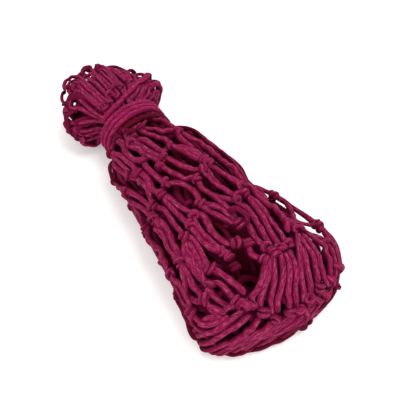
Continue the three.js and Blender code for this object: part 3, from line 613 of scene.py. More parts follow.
# Columns: from angle, to angle, from z, to z
SWEEPS = [
    (66, -8, 14, 6), (40, -36, 11, 4), (18, -58, 14, 7), (6, -74, 9, 3.4), (-18, -92, 14, 7),
    (-34, -112, 9, 3.4), (-52, -120, 14, 8), (-66, -136, 9, 3.4), (-86, -146, 15, 9),
    (78, 20, 8, 3), (-92, -140, 9, 5),
]
for from_angle, to_angle, from_z, to_z in SWEEPS:
    inset = 4.2 if to_angle > 0 or from_z < 10 else 6.4
    sweep(math.radians(from_angle), math.radians(to_angle), from_z, to_z, inset)
fan((-128, 22, 12), inset=10.0, top=[], radius=2.9, layer=2)
fan((16, 96, 9), inset=5.0, top=[0.86, 0.97], radius=2.6, layer=1, turn=-0.25)
fan((-120, 110, 20), inset=11.0, top=[0.5, 0.72, 0.9], radius=2.9, layer=2, turn=-0.3)


# ---------------------------------------------------------------- mouth, in loops
def mouth(angles, inset, radius, layer, top):
    """Loops out from MOUTH at np.linspace(*angles) degrees, over the edge and into the neck."""
    for angle in map(math.radians, np.linspace(*angles)):
        edge = reach(MOUTH, angle) - inset
        points = []
        for u in top:
            x, y = toward(MOUTH, u * edge, angle)
            points.append([x, y, float(top_z(x, y)) - inset])
        thick = float(profile(toward(MOUTH, edge, angle)[0])[2])
        side = angle + rng.normal(0, 0.05)
        for back, height in ((0.0, 1.0), (1.0, 0.66), (6, 0.36), (17, 0.2)):
            z = max(height * thick / 2, radius) + (inset if back > 5 else 0)
            points.append([*toward(MOUTH, edge - back, side), z])
        points = roughened(points, 0.8, 0.6)
        round_neck = math.atan2(-(0.35 + 0.65 * abs(math.cos(angle))), math.sin(angle))
        bunch = 25.5 if layer == 1 else 19.5
        for x, distance in ((-8, bunch + 3), (0, bunch), (8, bunch), (17, bunch)):
            points.append(neck_at(x, round_neck, distance))
        add_cord("head", points, radius, layer)


mouth((96, 264, 15), inset=3.4, radius=2.6, layer=1, top=[])
mouth((92, 118, 3), inset=3.0, radius=2.95, layer=1, top=[0.55, 0.8, 0.95])
mouth((95, 265, 24), inset=4.6, radius=2.2, layer=2, top=[0.3, 0.55, 0.78, 0.94])
mouth((98, 262, 13), inset=12.5, radius=2.5, layer=3, top=[0.3, 0.55, 0.78, 0.94])
mouth((104, 256, 11), inset=16.0, radius=2.8, layer=3, top=[0.3, 0.62, 0.9])

for size, places in read_table(KNOTS):
    for place in places:
        knots.append(Knot(place, rng.uniform(0.86, 1.08) * float(size)))

# ---------------------------------------------------------------- openings between the cords
# Each lies on the line from EYE to a point on the floor.
# Gaps the floor shows through. Columns: floor x, floor y, radius
GAPS = [
    (146.4, 73.4, 1.5), (162.8, 73, 1), (175.9, 81.5, 1.3), (183.1, 81.9, 2), (188.3, 83.9, 2.8),
    (199.1, 79.8, 2.8), (203.1, 80.1, 2.4), (208.5, 80.5, 1.4), (-88.1, -24.3, 2.4),
    (-80.6, -28.2, 1.0), (-71.7, -38.6, 1.4), (-132.2, 15.3, 1.0), (-130.3, -4.6, 0.7),
    (-126.2, -14.7, 0.7), (-109.7, -25.2, 0.9), (-99.7, 58.7, 1.0), (-70.9, 64.7, 0.7),
]
# Deep places that cords part round.
# Columns: floor x, floor y, radius, least height it acts at, outermost layer it moves
HOLLOWS = [
    (204.9, 4.0, 8.5, 38, 1), (-73.9, -21.6, 9.0, 24, 2),
    (-47.4, -30.0, 6.5, 20, 2), (-62.0, -24.0, 7.0, 24, 2),
]


def make_tree(points):
    tree = kdtree.KDTree(len(points))
    for i, p in enumerate(points):
        tree.insert(p, i)
    tree.balance()
    return tree


def partings(lines, step=1.5, within=8.5, least=0.45, most=96):
    """The widest openings that the cords leave between them, as rows of HOLLOWS.

    A place on the skin counts when it lies half way between two cords that run either side
    of it. Its radius is what their thickness leaves free.
    """
    tree = make_tree(np.vstack([c.path for c in lines]))
    found = []
    for x in np.arange(-80.0, 276.0, step):
        if 0.0 < x < 40.0:
            continue
        mid, half, _thick = profile(x)
        for y in np.arange(mid - 0.93 * half, mid + 0.93 * half, step):
            p = np.array([x, y, float(top_z(x, y)) - 3.0])
            if p[2] < 26:
                continue
            near = tree.find_range(p, within)
            if len(near) < 2:
                continue
            v = np.array([q for q, _i, _d in near]) - p
            d = np.linalg.norm(v, axis=1) + 1e-9
            k = int(np.argmin(d))
            facing = (v @ v[k]) / (d * d[k])
            other = d[facing < -0.6]
            if not len(other) or abs(other.min() - d[k]) > 1.3:
                continue
            free = (other.min() + d[k]) / 2 - 2.45
            if free > least:
                found.append((free, p))
    found.sort(key=lambda f: (-round(f[0], 3), round(float(f[1][0]), 3), round(float(f[1][1]), 3)))
    kept = []
    for free, p in found:
        if all(np.linalg.norm(p - q) > 1.9 * max(free, g) + 1.2 for g, q in kept):
            kept.append((free, p))
            if len(kept) == most:
                break
    out = []
    for free, p in kept:
        f = EYE + (p - EYE) * EYE[2] / (EYE[2] - p[2])
        out.append((float(f[0]), float(f[1]), min(0.95 * free, 3.6), float(p[2]) - 8.0, 1))
    return out


# ---------------------------------------------------------------- cords settle
def touching(pos, strand, knot_id, knot_distance):
    """Pairs of points near enough to push, other than neighbours and those of one knot."""
    tree = make_tree(pos)
    a, b = [], []
    for i in range(len(pos)):
        for _, j, _ in tree.find_range(pos[i], 7.4):
            if j > i and not (strand[i] == strand[j] and j - i < 5):
                a.append(i)
                b.append(j)
    a, b = np.array(a), np.array(b)
    same = (knot_id[a] == knot_id[b]) & (knot_distance[a] < 9.5) & (knot_distance[b] < 9.5)
    return a[~same], b[~same]


def settle(openings, rounds=42):
    """Push the cords apart where they cross or run together, and away from the openings."""
    lengths = [len(c.path) for c in cords]
    pos = np.vstack([c.path for c in cords])
    rest = pos.copy()
    n = len(pos)
    strand = np.repeat(np.arange(len(cords)), lengths)
    radius = np.repeat([c.radius for c in cords], lengths)
    layer = np.repeat([c.layer for c in cords], lengths)
    free = np.repeat([c.free for c in cords], lengths)
    anchor = np.repeat([c.anchor for c in cords], lengths)
    interior = np.zeros(n, bool)
    interior[1:-1] = (strand[1:-1] == strand[:-2]) & (strand[1:-1] == strand[2:])
    knot_pos = np.array([k.at for k in knots])
    knot_tree = make_tree(knot_pos)
    near = np.array([knot_tree.find(p)[1:] for p in pos])
    knot_id, knot_distance = near[:, 0].astype(int), near[:, 1]
    pos[:, 2] += rng.normal(0, 0.5, n)

    def share(one, other):
        """How much of a push one takes: the deeper of two cords gives way more."""
        outer, deeper = layer[one] < layer[other], layer[one] > layer[other]
        return free[one] * np.where(outer, 0.25, np.where(deeper, 0.75, 0.5))

    for it in range(rounds):
        if it % 6 == 0:
            a, b = touching(pos, strand, knot_id, knot_distance)
        tan = np.zeros_like(pos)
        tan[1:-1] = pos[2:] - pos[:-2]
        tan[0], tan[-1] = tan[1], tan[-2]
        tan = unit_rows(tan, 1e-9)
        d = pos[a] - pos[b]
        # distance across the two cords, not along them
        mean_t = tan[a] + np.sign(np.sum(tan[a] * tan[b], 1))[:, None] * tan[b]
        mean_t = unit_rows(mean_t, 1e-9)
        along = np.sum(d * mean_t, 1)
        d = d - 0.85 * along[:, None] * mean_t
        dist = np.linalg.norm(d, axis=1) + 1e-9
        push = np.clip((radius[a] + radius[b]) * 0.97 - dist, 0, None)
        push[np.abs(along) > 3.2] = 0
        normal = d / dist[:, None]
        # cords that cross push along the perpendicular to both
        cross = np.cross(tan[a], tan[b])
        size = np.linalg.norm(cross, axis=1)
        crossing = size > 0.45
        cross = cross / (size[:, None] + 1e-9) * np.sign(np.sum(cross * d, 1) + 1e-12)[:, None]
        normal[crossing] = cross[crossing]
        move = np.zeros_like(pos)
        count = np.zeros(n)
        np.add.at(move, a, normal * (push * share(a, b))[:, None])
        np.add.at(move, b, -normal * (push * share(b, a))[:, None])
        np.add.at(count, a, push > 0)
        np.add.at(count, b, push > 0)
        pos += move / np.maximum(count, 1)[:, None] * 1.5
        # smooth, and drift back to where the cord was laid
        bend = np.zeros_like(pos)
        bend[1:-1] = (pos[2:] + pos[:-2]) / 2 - pos[1:-1]
        pos[interior] += 0.22 * bend[interior]
        pos += (rest - pos) * np.where(layer == 1, anchor, 0.03)[:, None]
        for x, y, opening, least_z, outermost in openings:
            sight = np.array([x, y, 0.0]) - EYE
            sight /= np.linalg.norm(sight)
            off = pos - EYE
            off = off - (off @ sight)[:, None] * sight
            dist = np.linalg.norm(off, axis=1) + 1e-9
            lack = np.clip(opening + 1.12 * radius - dist, 0, 1.5)
            lack = np.where((pos[:, 2] > least_z) & (layer >= outermost), lack, 0.0)
            pos += off / dist[:, None] * (lack * 0.6)[:, None]
        pos[:, 2] = np.maximum(pos[:, 2], radius)
        # cords meet in their knots
        m = (knot_distance < 5.0) & (layer == 1)
        pos[m] += (knot_pos[knot_id[m]] - pos[m]) * 0.02
    for c, path in zip(cords, np.split(pos, np.cumsum(lengths)[:-1])):
        c.path = path


settle([(*gap, 0, 1) for gap in GAPS] + HOLLOWS + partings(laid_net))


# ---------------------------------------------------------------- skin directions and shade
def skin_level(x, y, z):
    """Superellipse sum of a point: 1 on the skin, less inside."""
    mid, half, thick = profile(x)
    thick = np.maximum(thick, 8)
    half = np.maximum(half, 6)
    return np.abs((y - mid) / half) ** POWER + np.abs((z - thick / 2) / (thick / 2)) ** POWER


def outward(p):
    """Unit direction out of the bundle's skin at each point."""
    x, y, z = p.T
    g = np.stack([
        skin_level(x + 2, y, z) - skin_level(x - 2, y, z),
        skin_level(x, y + 2, z) - skin_level(x, y - 2, z),
        skin_level(x, y, z + 2) - skin_level(x, y, z - 2),
    ], 1)
    g[:, 0] = np.clip(g[:, 0], -2, 2)
    n = np.linalg.norm(g, axis=1)[:, None]
    return np.where(n > 1e-6, g / (n + 1e-12), np.array([0, 0, 1.0]))


def painted_shade_at(path):
    """Painted shade: 0 near the skin, rising to 1 deep inside, and dark just past the draw cord's
    turns, where they shade the body.
    """
    x, y, z = path.T
    _mid, half, thick = profile(x)
    level = skin_level(x, y, z) ** (1 / POWER)
    depth = (1 - level) * np.minimum(half, np.maximum(thick, 8) / 2)
    u = np.clip((depth - 4.5) / 10.0, 0, 1)
    u = u * u * (3 - 2 * u)
    shade_past_turns = np.where(x > 24.5, np.clip((37.0 - x) / 8.0, 0, 1), 0.0) * 0.8
    return np.maximum(u, shade_past_turns)


def frames(path, up=None):
    """Tangent, normal and sideways directions along a path, the normal near up or outward."""
    t = unit_rows(np.gradient(path, axis=0))
    n = outward(path) if up is None else np.broadcast_to(up, path.shape)
    n = n - np.sum(n * t, 1)[:, None] * t
    bad = np.linalg.norm(n, axis=1) < 0.25
    for i in range(1, len(n)):
        if bad[i]:
            n[i] = n[i - 1] - np.dot(n[i - 1], t[i]) * t[i]
        if np.dot(n[i], n[i - 1]) < 0 and np.linalg.norm(n[i] + n[i - 1]) < 0.2:
            n[i] = -n[i]
    n = unit_rows(n)
    for _ in range(10):
        m = n.copy()
        m[1:-1] = n[:-2] + 2 * n[1:-1] + n[2:]
        m -= np.sum(m * t, 1)[:, None] * t
        n = unit_rows(m)
    return t, n, np.cross(t, n)


# ---------------------------------------------------------------- meshes
PLEAT = 0.085  # depth of the furrows along a cord
LUMP = 0.07  # swelling along a cord
END_TAPER = np.array([0.35, 0.72, 0.93])  # radius of the first rings at each end
UV_LENGTH = 2 * math.pi * 3.0  # millimetres of cord to one unit of v


class Build:
    """Closed tubes gathered into one mesh."""

    def __init__(self):
        self.points, self.shade, self.count = [], [], 0
        self.quads, self.quad_uvs, self.tris, self.tri_uvs = [], [], [], []

    def tube(self, path, radius, wide=1.16, flat=0.84, step=1.3, sides=14, up=None, seed=0):
        path = resample(np.asarray(path, float), step)
        m = len(path)
        t, n, b = frames(path, up)
        w = (wide * (1 + 0.09 * wave(m, 9 / step, seed + 1)))[:, None]
        h = (flat * (1 + 0.10 * wave(m, 8 / step, seed + 2)))[:, None]
        roll = 0.5 * wave(m, 16 / step, seed + 3)
        phase = (1.2 * wave(m, 12 / step, seed + 4) + seed)[:, None]
        size = radius * (1 + LUMP * wave(m, 7 / step, seed))
        size[:3] *= END_TAPER
        size[-3:] *= END_TAPER[::-1]
        size = size[:, None]
        angle = np.linspace(0, 2 * math.pi, sides, endpoint=False)[None, :]
        pleats = PLEAT * np.cos(3 * angle + phase) + 0.6 * PLEAT * np.cos(5 * angle - 1.7 * phase)
        across = np.cos(angle) * w * (1 + pleats) * size
        out = np.sin(angle) * h * (1 + pleats) * size
        c, s = np.cos(roll)[:, None], np.sin(roll)[:, None]
        across, out = across * c - out * s, across * s + out * c
        ring = path[:, None, :] + across[:, :, None] * b[:, None, :] + out[:, :, None] * n[:, None, :]
        caps = np.stack([path[0] - t[0] * 0.5, path[-1] + t[-1] * 0.5])
        self.points += [ring.reshape(-1, 3), caps]
        self.add_shade(out / (h * size + 1e-9), painted_shade_at(path)[:, None], 1 if up is None else 0.55)
        self.add_faces(m, sides, np.arange(m) * step / UV_LENGTH + (seed % 17) * 0.37)
        self.count += m * sides + 2

    def add_shade(self, out, dark, strength):
        """Painted shade, positive in creases and deep in the bundle; painted highlight, negative on
        the crowns of outer cords.
        """
        crease_shade = np.clip((0.80 - out) / 0.80, 0, 1) ** 1.15
        crown_highlight = np.clip((out - 0.62) / 0.38, 0, 1) * (1 - dark)
        shade = -0.9 * crown_highlight + np.clip(0.95 * crease_shade * strength + dark * 0.9, 0, 1)
        self.shade += [shade.reshape(-1), np.array([0.6, 0.6])]

    def add_faces(self, rings, sides, v):
        base = self.count
        row, col = np.mgrid[: rings - 1, :sides]
        corners = ((0, 0), (0, 1), (1, 1), (1, 0))  # ring, side
        quads = [base + (row + i) * sides + (col + j) % sides for i, j in corners]
        uvs = [np.stack([(col + j) / sides, v[row + i]], -1) for i, j in corners]
        self.quads.append(np.stack(quads, -1).reshape(-1, 4))
        self.quad_uvs.append(np.stack(uvs, 2).reshape(-1, 4, 2))
        here = np.arange(sides)
        after = (here + 1) % sides
        start, end = base + rings * sides, base + (rings - 1) * sides
        self.tris.append(np.stack([np.full(sides, start), after + base, here + base], 1))
        self.tris.append(np.stack([np.full(sides, start + 1), here + end, after + end], 1))
        uv = np.zeros((sides, 3, 2))
        uv[:, 0, 0] = 0.5
        uv[:, 1, 0], uv[:, 2, 0] = here / sides, after / sides
        self.tri_uvs += [uv, uv]

    def ring(self, path, radius, up, seed):
        """A closed loop of cord, its two ends overlapping inside each other."""
        path = np.vstack([path, path[:3]])
        self.tube(path, radius, wide=1.1, flat=0.9, up=np.array(up, float), seed=seed)

    def object(self, name, material, slot, replaced=None):
        points = (np.vstack(self.points) + SHIFT) / 1000
        quads, tris = np.vstack(self.quads), np.vstack(self.tris)
        nq, nt = len(quads), len(tris)
        mesh = bpy.data.meshes.new(name)
        mesh.vertices.add(len(points))
        mesh.vertices.foreach_set("co", points.astype(np.float32).ravel())
        mesh.loops.add(nq * 4 + nt * 3)
        loops = np.concatenate([quads.ravel(), tris.ravel()])
        mesh.loops.foreach_set("vertex_index", loops.astype(np.int32))
        mesh.polygons.add(nq + nt)
        starts = np.concatenate([np.arange(nq) * 4, nq * 4 + np.arange(nt) * 3])
        totals = np.concatenate([np.full(nq, 4), np.full(nt, 3)])
        mesh.polygons.foreach_set("loop_start", starts.astype(np.int32))
        mesh.polygons.foreach_set("loop_total", totals.astype(np.int32))
        mesh.polygons.foreach_set("use_smooth", np.ones(nq + nt, bool))
        uvs = [np.vstack(uv).reshape(-1, 2) for uv in (self.quad_uvs, self.tri_uvs)]
        layer = mesh.uv_layers.new(name="CordUV")
        layer.data.foreach_set("uv", np.concatenate(uvs).astype(np.float32).ravel())
        mesh.update(calc_edges=True)
        shade = mesh.attributes.new("shade", "FLOAT", "POINT")
        shade.data.foreach_set("value", np.concatenate(self.shade).astype(np.float32))
        mesh.validate()
        return link_object(name, mesh, material, replaced)


def link_object(name, mesh, material, replaced=None):
    mesh.materials.append(material)
    obj = bpy.data.objects.new(name, mesh)
    bpy.context.scene.collection.objects.link(obj)
    if replaced:
        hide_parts(replaced)
    return obj


# ---------------------------------------------------------------- materials
class Graph:
    """Short ways to add shader nodes to a material's tree."""

    def __init__(self, tree):
        self.tree = tree
        tree.nodes.clear()

    def link(self, source, target):
        self.tree.links.new(source, target)

    def node(self, kind, **values):
        n = self.tree.nodes.new(kind)
        for key, value in values.items():
            if key in n.inputs:
                n.inputs[key].default_value = value
            else:
                setattr(n, key, value)
        return n

    def math(self, operation, a, b=None):
        n = self.node("ShaderNodeMath", operation=operation)
        for socket, value in zip(n.inputs, (a, b)):
            if isinstance(value, (int, float)):
                socket.default_value = value
            elif value is not None:
                self.link(value, socket)
        return n.outputs[0]

    def mix(self, factor, a, b):
        n = self.node("ShaderNodeMix", data_type="RGBA")
        self.link(factor, n.inputs[0])
        for socket, value in ((n.inputs[6], a), (n.inputs[7], b)):
            if isinstance(value, tuple):
                socket.default_value = (*value, 1.0)
            else:
                self.link(value, socket)
        return n.outputs[2]

    def noise(self, vector, scale, detail, roughness):
        n = self.node("ShaderNodeTexNoise", Scale=scale, Detail=detail, Roughness=roughness)
        self.link(vector, n.inputs["Vector"])
        return n.outputs[0]

    def ramp(self, source, low, high, falling=False):
        n = self.node("ShaderNodeValToRGB")
        first, last = n.color_ramp.elements
        first.position, last.position = low, high
        if falling:
            first.color, last.color = (1, 1, 1, 1), (0, 0, 0, 1)
        self.link(source, n.inputs[0])
        return n.outputs[0]

    def scaled_uv(self, u, v, u_scale, v_scale):
        n = self.node("ShaderNodeCombineXYZ")
        self.link(self.math("MULTIPLY", u, u_scale), n.inputs[0])
        self.link(self.math("MULTIPLY", v, v_scale), n.inputs[1])
        return n.outputs[0]


SHADOW = (0.078, 0.0012, 0.0110)
PLAITS_ROUND, PLAITS_ALONG = 6, 7  # plaits of the braid to one unit of u and of v


def cord_material(name, base, deep, light, speck_and_highlight, sheen):
    """Braided cord: base colour, deep on darker fibres and as painted shade in its furrows, light on
    stray fibres and as a painted highlight on outer cords' crowns; the shade attribute adds painted
    shade and highlight.
    """
    material = bpy.data.materials.new(name)
    material.use_nodes = True
    g = Graph(material.node_tree)
    output = g.node("ShaderNodeOutputMaterial")
    bsdf = g.node("ShaderNodeBsdfPrincipled")
    g.link(bsdf.outputs[0], output.inputs[0])
    uv = g.node("ShaderNodeUVMap", uv_map="CordUV")
    split = g.node("ShaderNodeSeparateXYZ")
    g.link(uv.outputs[0], split.inputs[0])
    u, v = split.outputs[0], split.outputs[1]
    # braid: two sets of strands wound opposite ways
    p = g.math("MULTIPLY", u, 2 * math.pi * PLAITS_ROUND)
    q = g.math("MULTIPLY", v, 2 * math.pi * PLAITS_ALONG)
    one_way = g.math("SINE", g.math("ADD", p, q))
    other_way = g.math("SINE", g.math("SUBTRACT", p, q))
    weave = g.math("MAXIMUM", one_way, other_way)
    place = g.node("ShaderNodeTexCoord").outputs["Object"]
    fuzz = g.noise(place, scale=1500.0, detail=4.0, roughness=0.7)
    patches = g.noise(place, scale=70.0, detail=3.0, roughness=0.55)
    # fibres drawn out along the cord
    drawn_out = g.scaled_uv(u, v, u_scale=16.0, v_scale=2.2)
    fibre = g.noise(drawn_out, scale=1.0, detail=5.0, roughness=0.72)
    pale = g.ramp(fibre, low=0.55, high=0.68)
    patchy = g.ramp(patches, low=0.36, high=0.68)
    darker, brighter = (tuple(f * x for x in base) for f in (0.78, 1.12))
    colour = g.mix(patchy, darker, brighter)
    colour = g.mix(g.math("MULTIPLY", pale, speck_and_highlight), colour, light)
    specks = g.ramp(fuzz, low=0.55, high=0.68)
    colour = g.mix(g.math("MULTIPLY", specks, speck_and_highlight * 0.32), colour, light)
    dark_fibre = g.ramp(fibre, low=0.30, high=0.47, falling=True)
    colour = g.mix(g.math("MULTIPLY", dark_fibre, 0.7), colour, deep)
    # painted shade in the grooves between the plaits: from level 0.55 down, at strength 0.42
    groove_shade = g.math("MULTIPLY", g.math("SUBTRACT", 0.55, weave), 0.42)
    colour = g.mix(g.math("MAXIMUM", groove_shade, 0.0), colour, deep)
    shade = g.node("ShaderNodeAttribute", attribute_name="shade").outputs["Fac"]
    # painted highlight: paler colour in short dashes along each cord's crown
    stretched = g.scaled_uv(u, v, u_scale=27.0, v_scale=3.4)
    dash = g.noise(stretched, scale=1.0, detail=2.0, roughness=0.6)
    dashes = g.ramp(dash, low=0.50, high=0.62)
    crown_highlight = g.math("MAXIMUM", g.math("MULTIPLY", shade, -1.0), 0.0)
    dash_level = g.math("ADD", g.math("MULTIPLY", dashes, 0.85), 0.0)  # strength, least
    ridge_highlight = g.math("MULTIPLY", crown_highlight, dash_level)
    colour = g.mix(g.math("MULTIPLY", ridge_highlight, speck_and_highlight), colour, light)
    shadow = g.math("MULTIPLY", g.math("MAXIMUM", shade, 0.0), 0.84)
    colour = g.mix(shadow, colour, SHADOW)
    g.link(colour, bsdf.inputs["Base Color"])
    surface = {
        "Roughness": 0.78,
        "Specular IOR Level": 0.05,
        "Sheen Weight": sheen,
        "Sheen Roughness": 0.45,
        "Sheen Tint": (1.0, 0.2, 0.45, 1.0),
    }
    for key, value in surface.items():
        bsdf.inputs[key].default_value = value
    # relief: plaits, then fuzz, then fibres
    height = g.math("ADD", g.math("MULTIPLY", weave, 0.5), g.math("MULTIPLY", fuzz, 0.7))
    height = g.math("ADD", height, g.math("MULTIPLY", fibre, 0.8))
    bump = g.node("ShaderNodeBump", Strength=0.55, Distance=0.0006)
    g.link(height, bump.inputs["Height"])
    g.link(bump.outputs[0], bsdf.inputs["Normal"])
    return material


# DEEP colours darker fibres and is the painted shade in the braid's furrows; LIGHT colours pale
# fibres and specks, and is the painted highlight on outer cords' crowns
DEEP = (0.092, 0.0015, 0.0150)
LIGHT = (0.56, 0.095, 0.220)
net_mat = cord_material(
    "net_cord", base=(0.180, 0.0022, 0.0415), deep=DEEP, light=LIGHT, speck_and_highlight=0.6, sheen=0.03
)
draw_mat = cord_material(
    "draw_cord", base=(0.225, 0.0030, 0.054), deep=DEEP, light=LIGHT, speck_and_highlight=0.5, sheen=0.03
)
# painted shade: a darker copy of the draw cord's colours for the slack turn, for the shade beside the
# tight turns
shaded_slack_mat = cord_material(
    "draw_cord_shaded", base=(0.10, 0.0025, 0.018), deep=(0.03, 0.001, 0.005),
    light=(0.16, 0.010, 0.04), speck_and_highlight=0.3, sheen=0.02,
)
# painted shade: a darker copy of the cord's colours for the inner cords, for the shade inside the
# bundle
shaded_inner_mat = cord_material(
    "inner_cord", base=(0.135, 0.0022, 0.030), deep=(0.055, 0.0012, 0.0105),
    light=(0.20, 0.014, 0.045), speck_and_highlight=0.3, sheen=0.03,
)

# ---------------------------------------------------------------- knots tied on the cords
for c in cords:
    c.fine = spline(c.path, FINE_STEP)
    c.seed = int(rng.integers(1, 9999))

outer_cords = [c for c in cords if c.layer == 1]
outer_points = np.vstack([c.path for c in outer_cords])
point_owners = [(c, j) for c in outer_cords for j in range(len(c.path))]
outer_tree = make_tree(outer_points)


def knot_curve(at, along, out, size, seed):
    """A netting knot: about two turns of cord round the pair it ties, its ends tucked in."""
    r = np.random.default_rng(seed)
    along = unit(along)
    out = unit(out - np.dot(out, along) * along)
    side = np.cross(along, out)
    t = np.linspace(0, 1, 36)
    turns = r.uniform(1.7, 2.2)
    a = 2 * math.pi * turns * t + r.uniform(0, 6.28)
    ends = np.minimum(np.minimum(t, 1 - t) / 0.10, 1.0)
    radius = size * (2.6 + r.uniform(0.9, 1.5) * t) * (0.45 + 0.55 * ends)
    travel = 2.7 * np.cos(2 * math.pi * r.uniform(0.62, 0.85) * t + r.uniform(0, 6.28))
    travel = size * (travel + r.uniform(-1.1, 1.1) * np.sin(a))
    sideways = (radius * 1.12 * np.cos(a))[:, None] * side
    return at + travel[:, None] * along + sideways + (radius * 0.9 * np.sin(a))[:, None] * out


def tie(knot):
    """Give a knot its curve, and an owner if it is on an outer cord."""
    at = knot.at
    along = np.array([1.0, 0, 0])
    hits = outer_tree.find_n(at, 6)
    if knot.layer == 1 and hits[0][2] < 9:
        near = [index for _, index, distance in hits if distance < 10]
        at = 0.5 * at + 0.5 * np.mean([outer_points[i] for i in near], 0)
        knot.owner, j = point_owners[near[0]]
        path = knot.owner.path
        j = min(max(j, 1), len(path) - 2)
        along = path[j + 1] - path[j - 1]
    out = outward(at[None])[0]
    knot.path = knot_curve(at + 1.1 * out, along, out, knot.size, int(rng.integers(1, 99999)))
    knot.path[:, 2] = np.maximum(knot.path[:, 2], 2.6)
    knot.seed = int(rng.integers(1, 9999))


for knot in knots:
    tie(knot)


# ---------------------------------------------------------------- body and foot
def mesh_detail(cord):
    return dict(step=1.3, sides=14) if cord.layer == 1 else dict(step=2.0, sides=10)


def add_knots(build, tied):
    for knot in tied:
        build.tube(knot.path, 2.15, wide=1.08, flat=0.95, step=1.2, sides=12, seed=knot.seed)


def angle_of(cord):
    x, y, z = cord.path[len(cord.path) // 2]
    mid, half, thick = profile(x)
    return math.atan2((z - thick / 2) / thick, (y - mid) / half) % (2 * math.pi)


def outer_sets(group, count):
    """The group's outer cords, parted by their angle round the bundle."""
    cs = sorted((c for c in outer_cords if c.group == group), key=angle_of)
    return [cs[i * len(cs) // count : (i + 1) * len(cs) // count] for i in range(count)]


def knots_of(members):
    return [k for k in knots if k.owner in members]


def bundle_piece(name, members, tied, material, slot, replaced=None):
    build = Build()
    for c in members:
        build.tube(c.fine, c.radius, seed=c.seed, **mesh_detail(c))
    add_knots(build, tied)
    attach(build.object(name, material, slot, replaced), "bundle")


for group, prefix, old, count in (
    ("body", "net_strands", "body_cord", 14), ("foot", "foot_strands", "foot_loop", 12),
):
    for i, members in enumerate(outer_sets(group, count), 1):
        name, replaced = f"{prefix}_{i:02d}", f"{old}_{i:02d}"
        bundle_piece(name, members, knots_of(members), net_mat, "net_cord", replaced)

inner = [c for c in cords if c.group in ("body", "foot")]
folds = [c for c in inner if c.layer == 2]
loose_knots = [k for k in knots if k.owner is None]
bundle_piece("inner_folds_outer", folds, loose_knots, shaded_inner_mat, "inner_cord", "inner_net_layers")
folds = [c for c in inner if c.layer == 3]
bundle_piece("inner_folds_deep", folds, [], shaded_inner_mat, "inner_cord")

# ---------------------------------------------------------------- head and throat
CUT = -6.0  # station where head cords end and throat cords begin
throat_build = Build()


def cut(path):
    """The run of a path on the head's side of CUT, and the run on the neck's side."""
    past = np.flatnonzero(path[:, 0] > CUT)
    past = past[past > len(path) // 4]
    if not len(past):
        return path, path[:0]
    return path[: past[0] + 1], path[past[0] - 2 :]


def bend_head(obj):
    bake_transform(obj)


def bend_throat(obj):
    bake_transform(obj)


def head_piece(name, members, tied, material, slot, replaced):
    build = Build()
    for c in members:
        head_run, throat_run = cut(c.fine)
        detail = mesh_detail(c)
        build.tube(head_run, c.radius, seed=c.seed, **detail)
        if len(throat_run) > 5:
            throat_build.tube(throat_run, c.radius * 0.99, seed=c.seed + 7, **detail)
    add_knots(build, tied)
    bend_head(build.object(name, material, slot, replaced))


for i, members in enumerate(outer_sets("head", 9), 1):
    name, replaced = f"mouth_strands_{i:02d}", f"mouth_loop_{i:02d}"
    head_piece(name, members, knots_of(members), net_mat, "net_cord", replaced)
folds = [c for c in cords if c.group == "head" and c.layer > 1]
head_piece("mouth_inner_folds", folds, [], shaded_inner_mat, "inner_cord", "inner_mouth_layers")
bend_throat(throat_build.object("throat_bunch", net_mat, "net_cord", "throat_strands"))


# ---------------------------------------------------------------- draw cord
def draw_cord_run():
    lead = next(c for c in cords if c.group == "lead")
    build = Build()
    build.tube(lead.fine, 2.45, wide=1.12, flat=0.9, seed=3)
    bend_head(build.object("draw_cord_run", draw_mat, "draw_cord", "draw_cord_lead"))


def draw_cord_wraps():
    turns, count = 3, 260
    start_x, length = 6.4, 18.3
    half_width, half_height = 33.2, 28.5
    t = np.linspace(0, turns * 2 * math.pi, count)
    x = start_x + length * t / t[-1] + 0.35 * wave(count, 30, 5)
    y = NECK_Y + (half_width + 0.3 * wave(count, 25, 9)) * np.cos(t - math.pi / 2)
    z = NECK_Z + (half_height + 0.3 * wave(count, 25, 11)) * np.sin(t - math.pi / 2)
    build = Build()
    build.tube(
        np.stack([x, y, z], 1), 2.95, wide=1.06, flat=0.94, step=1.2, sides=16, seed=21
    )
    obj = build.object("draw_cord_wraps", draw_mat, "draw_cord", "draw_cord_turns")
    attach(obj, "draw_cord_turns")


def draw_cord_slack_wrap():
    t = np.linspace(0, 2 * math.pi, 120)
    x = 30.6 + 0.7 * np.sin(t + 0.6)
    path = np.stack([x, NECK_Y + 32.0 * np.sin(t), NECK_Z + 27.6 * np.cos(t)], 1)[:-1]
    build = Build()
    build.ring(path, 2.9, up=(1, 0, 0), seed=31)
    obj = build.object("draw_cord_slack_wrap", shaded_slack_mat, "draw_cord", "draw_cord_slack_turn")
    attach(obj, "draw_cord_slack_turn")


draw_cord_run()
draw_cord_wraps()
draw_cord_slack_wrap()

# ---------------------------------------------------------------- loose cords
# Loose mesh at the high-y side: points of its long strand and of the one that joins it
SIDE_LONG = [
    (122, 40, 26), (131, 46, 23), (139, 52.5, 21), (146, 58, 22), (156, 63.5, 21),
    (168, 68, 19.5), (182, 72, 18.5), (196, 75, 18), (208, 77, 17.5), (220, 79, 17),
    (233, 78.5, 16), (246, 73, 15), (254, 67, 15), (260, 60, 15),
]
SIDE_JOIN = [(193, 50, 31), (199, 56, 28.5), (205, 62.5, 25), (209, 69.5, 21.3), (211, 77, 17.5)]
SIDE_KNOTS = [SIDE_JOIN[-1], (160, 65, 20)]
# Loop that stands up on top of the body
ARCH = [
    (180.5, -4.5, 64), (182, -3.5, 67.5), (186, -1.3, 71.5), (192, 0, 73),
    (197.3, 1.3, 71.5), (199.4, -0.2, 68), (198.6, -3.1, 64.5),
]


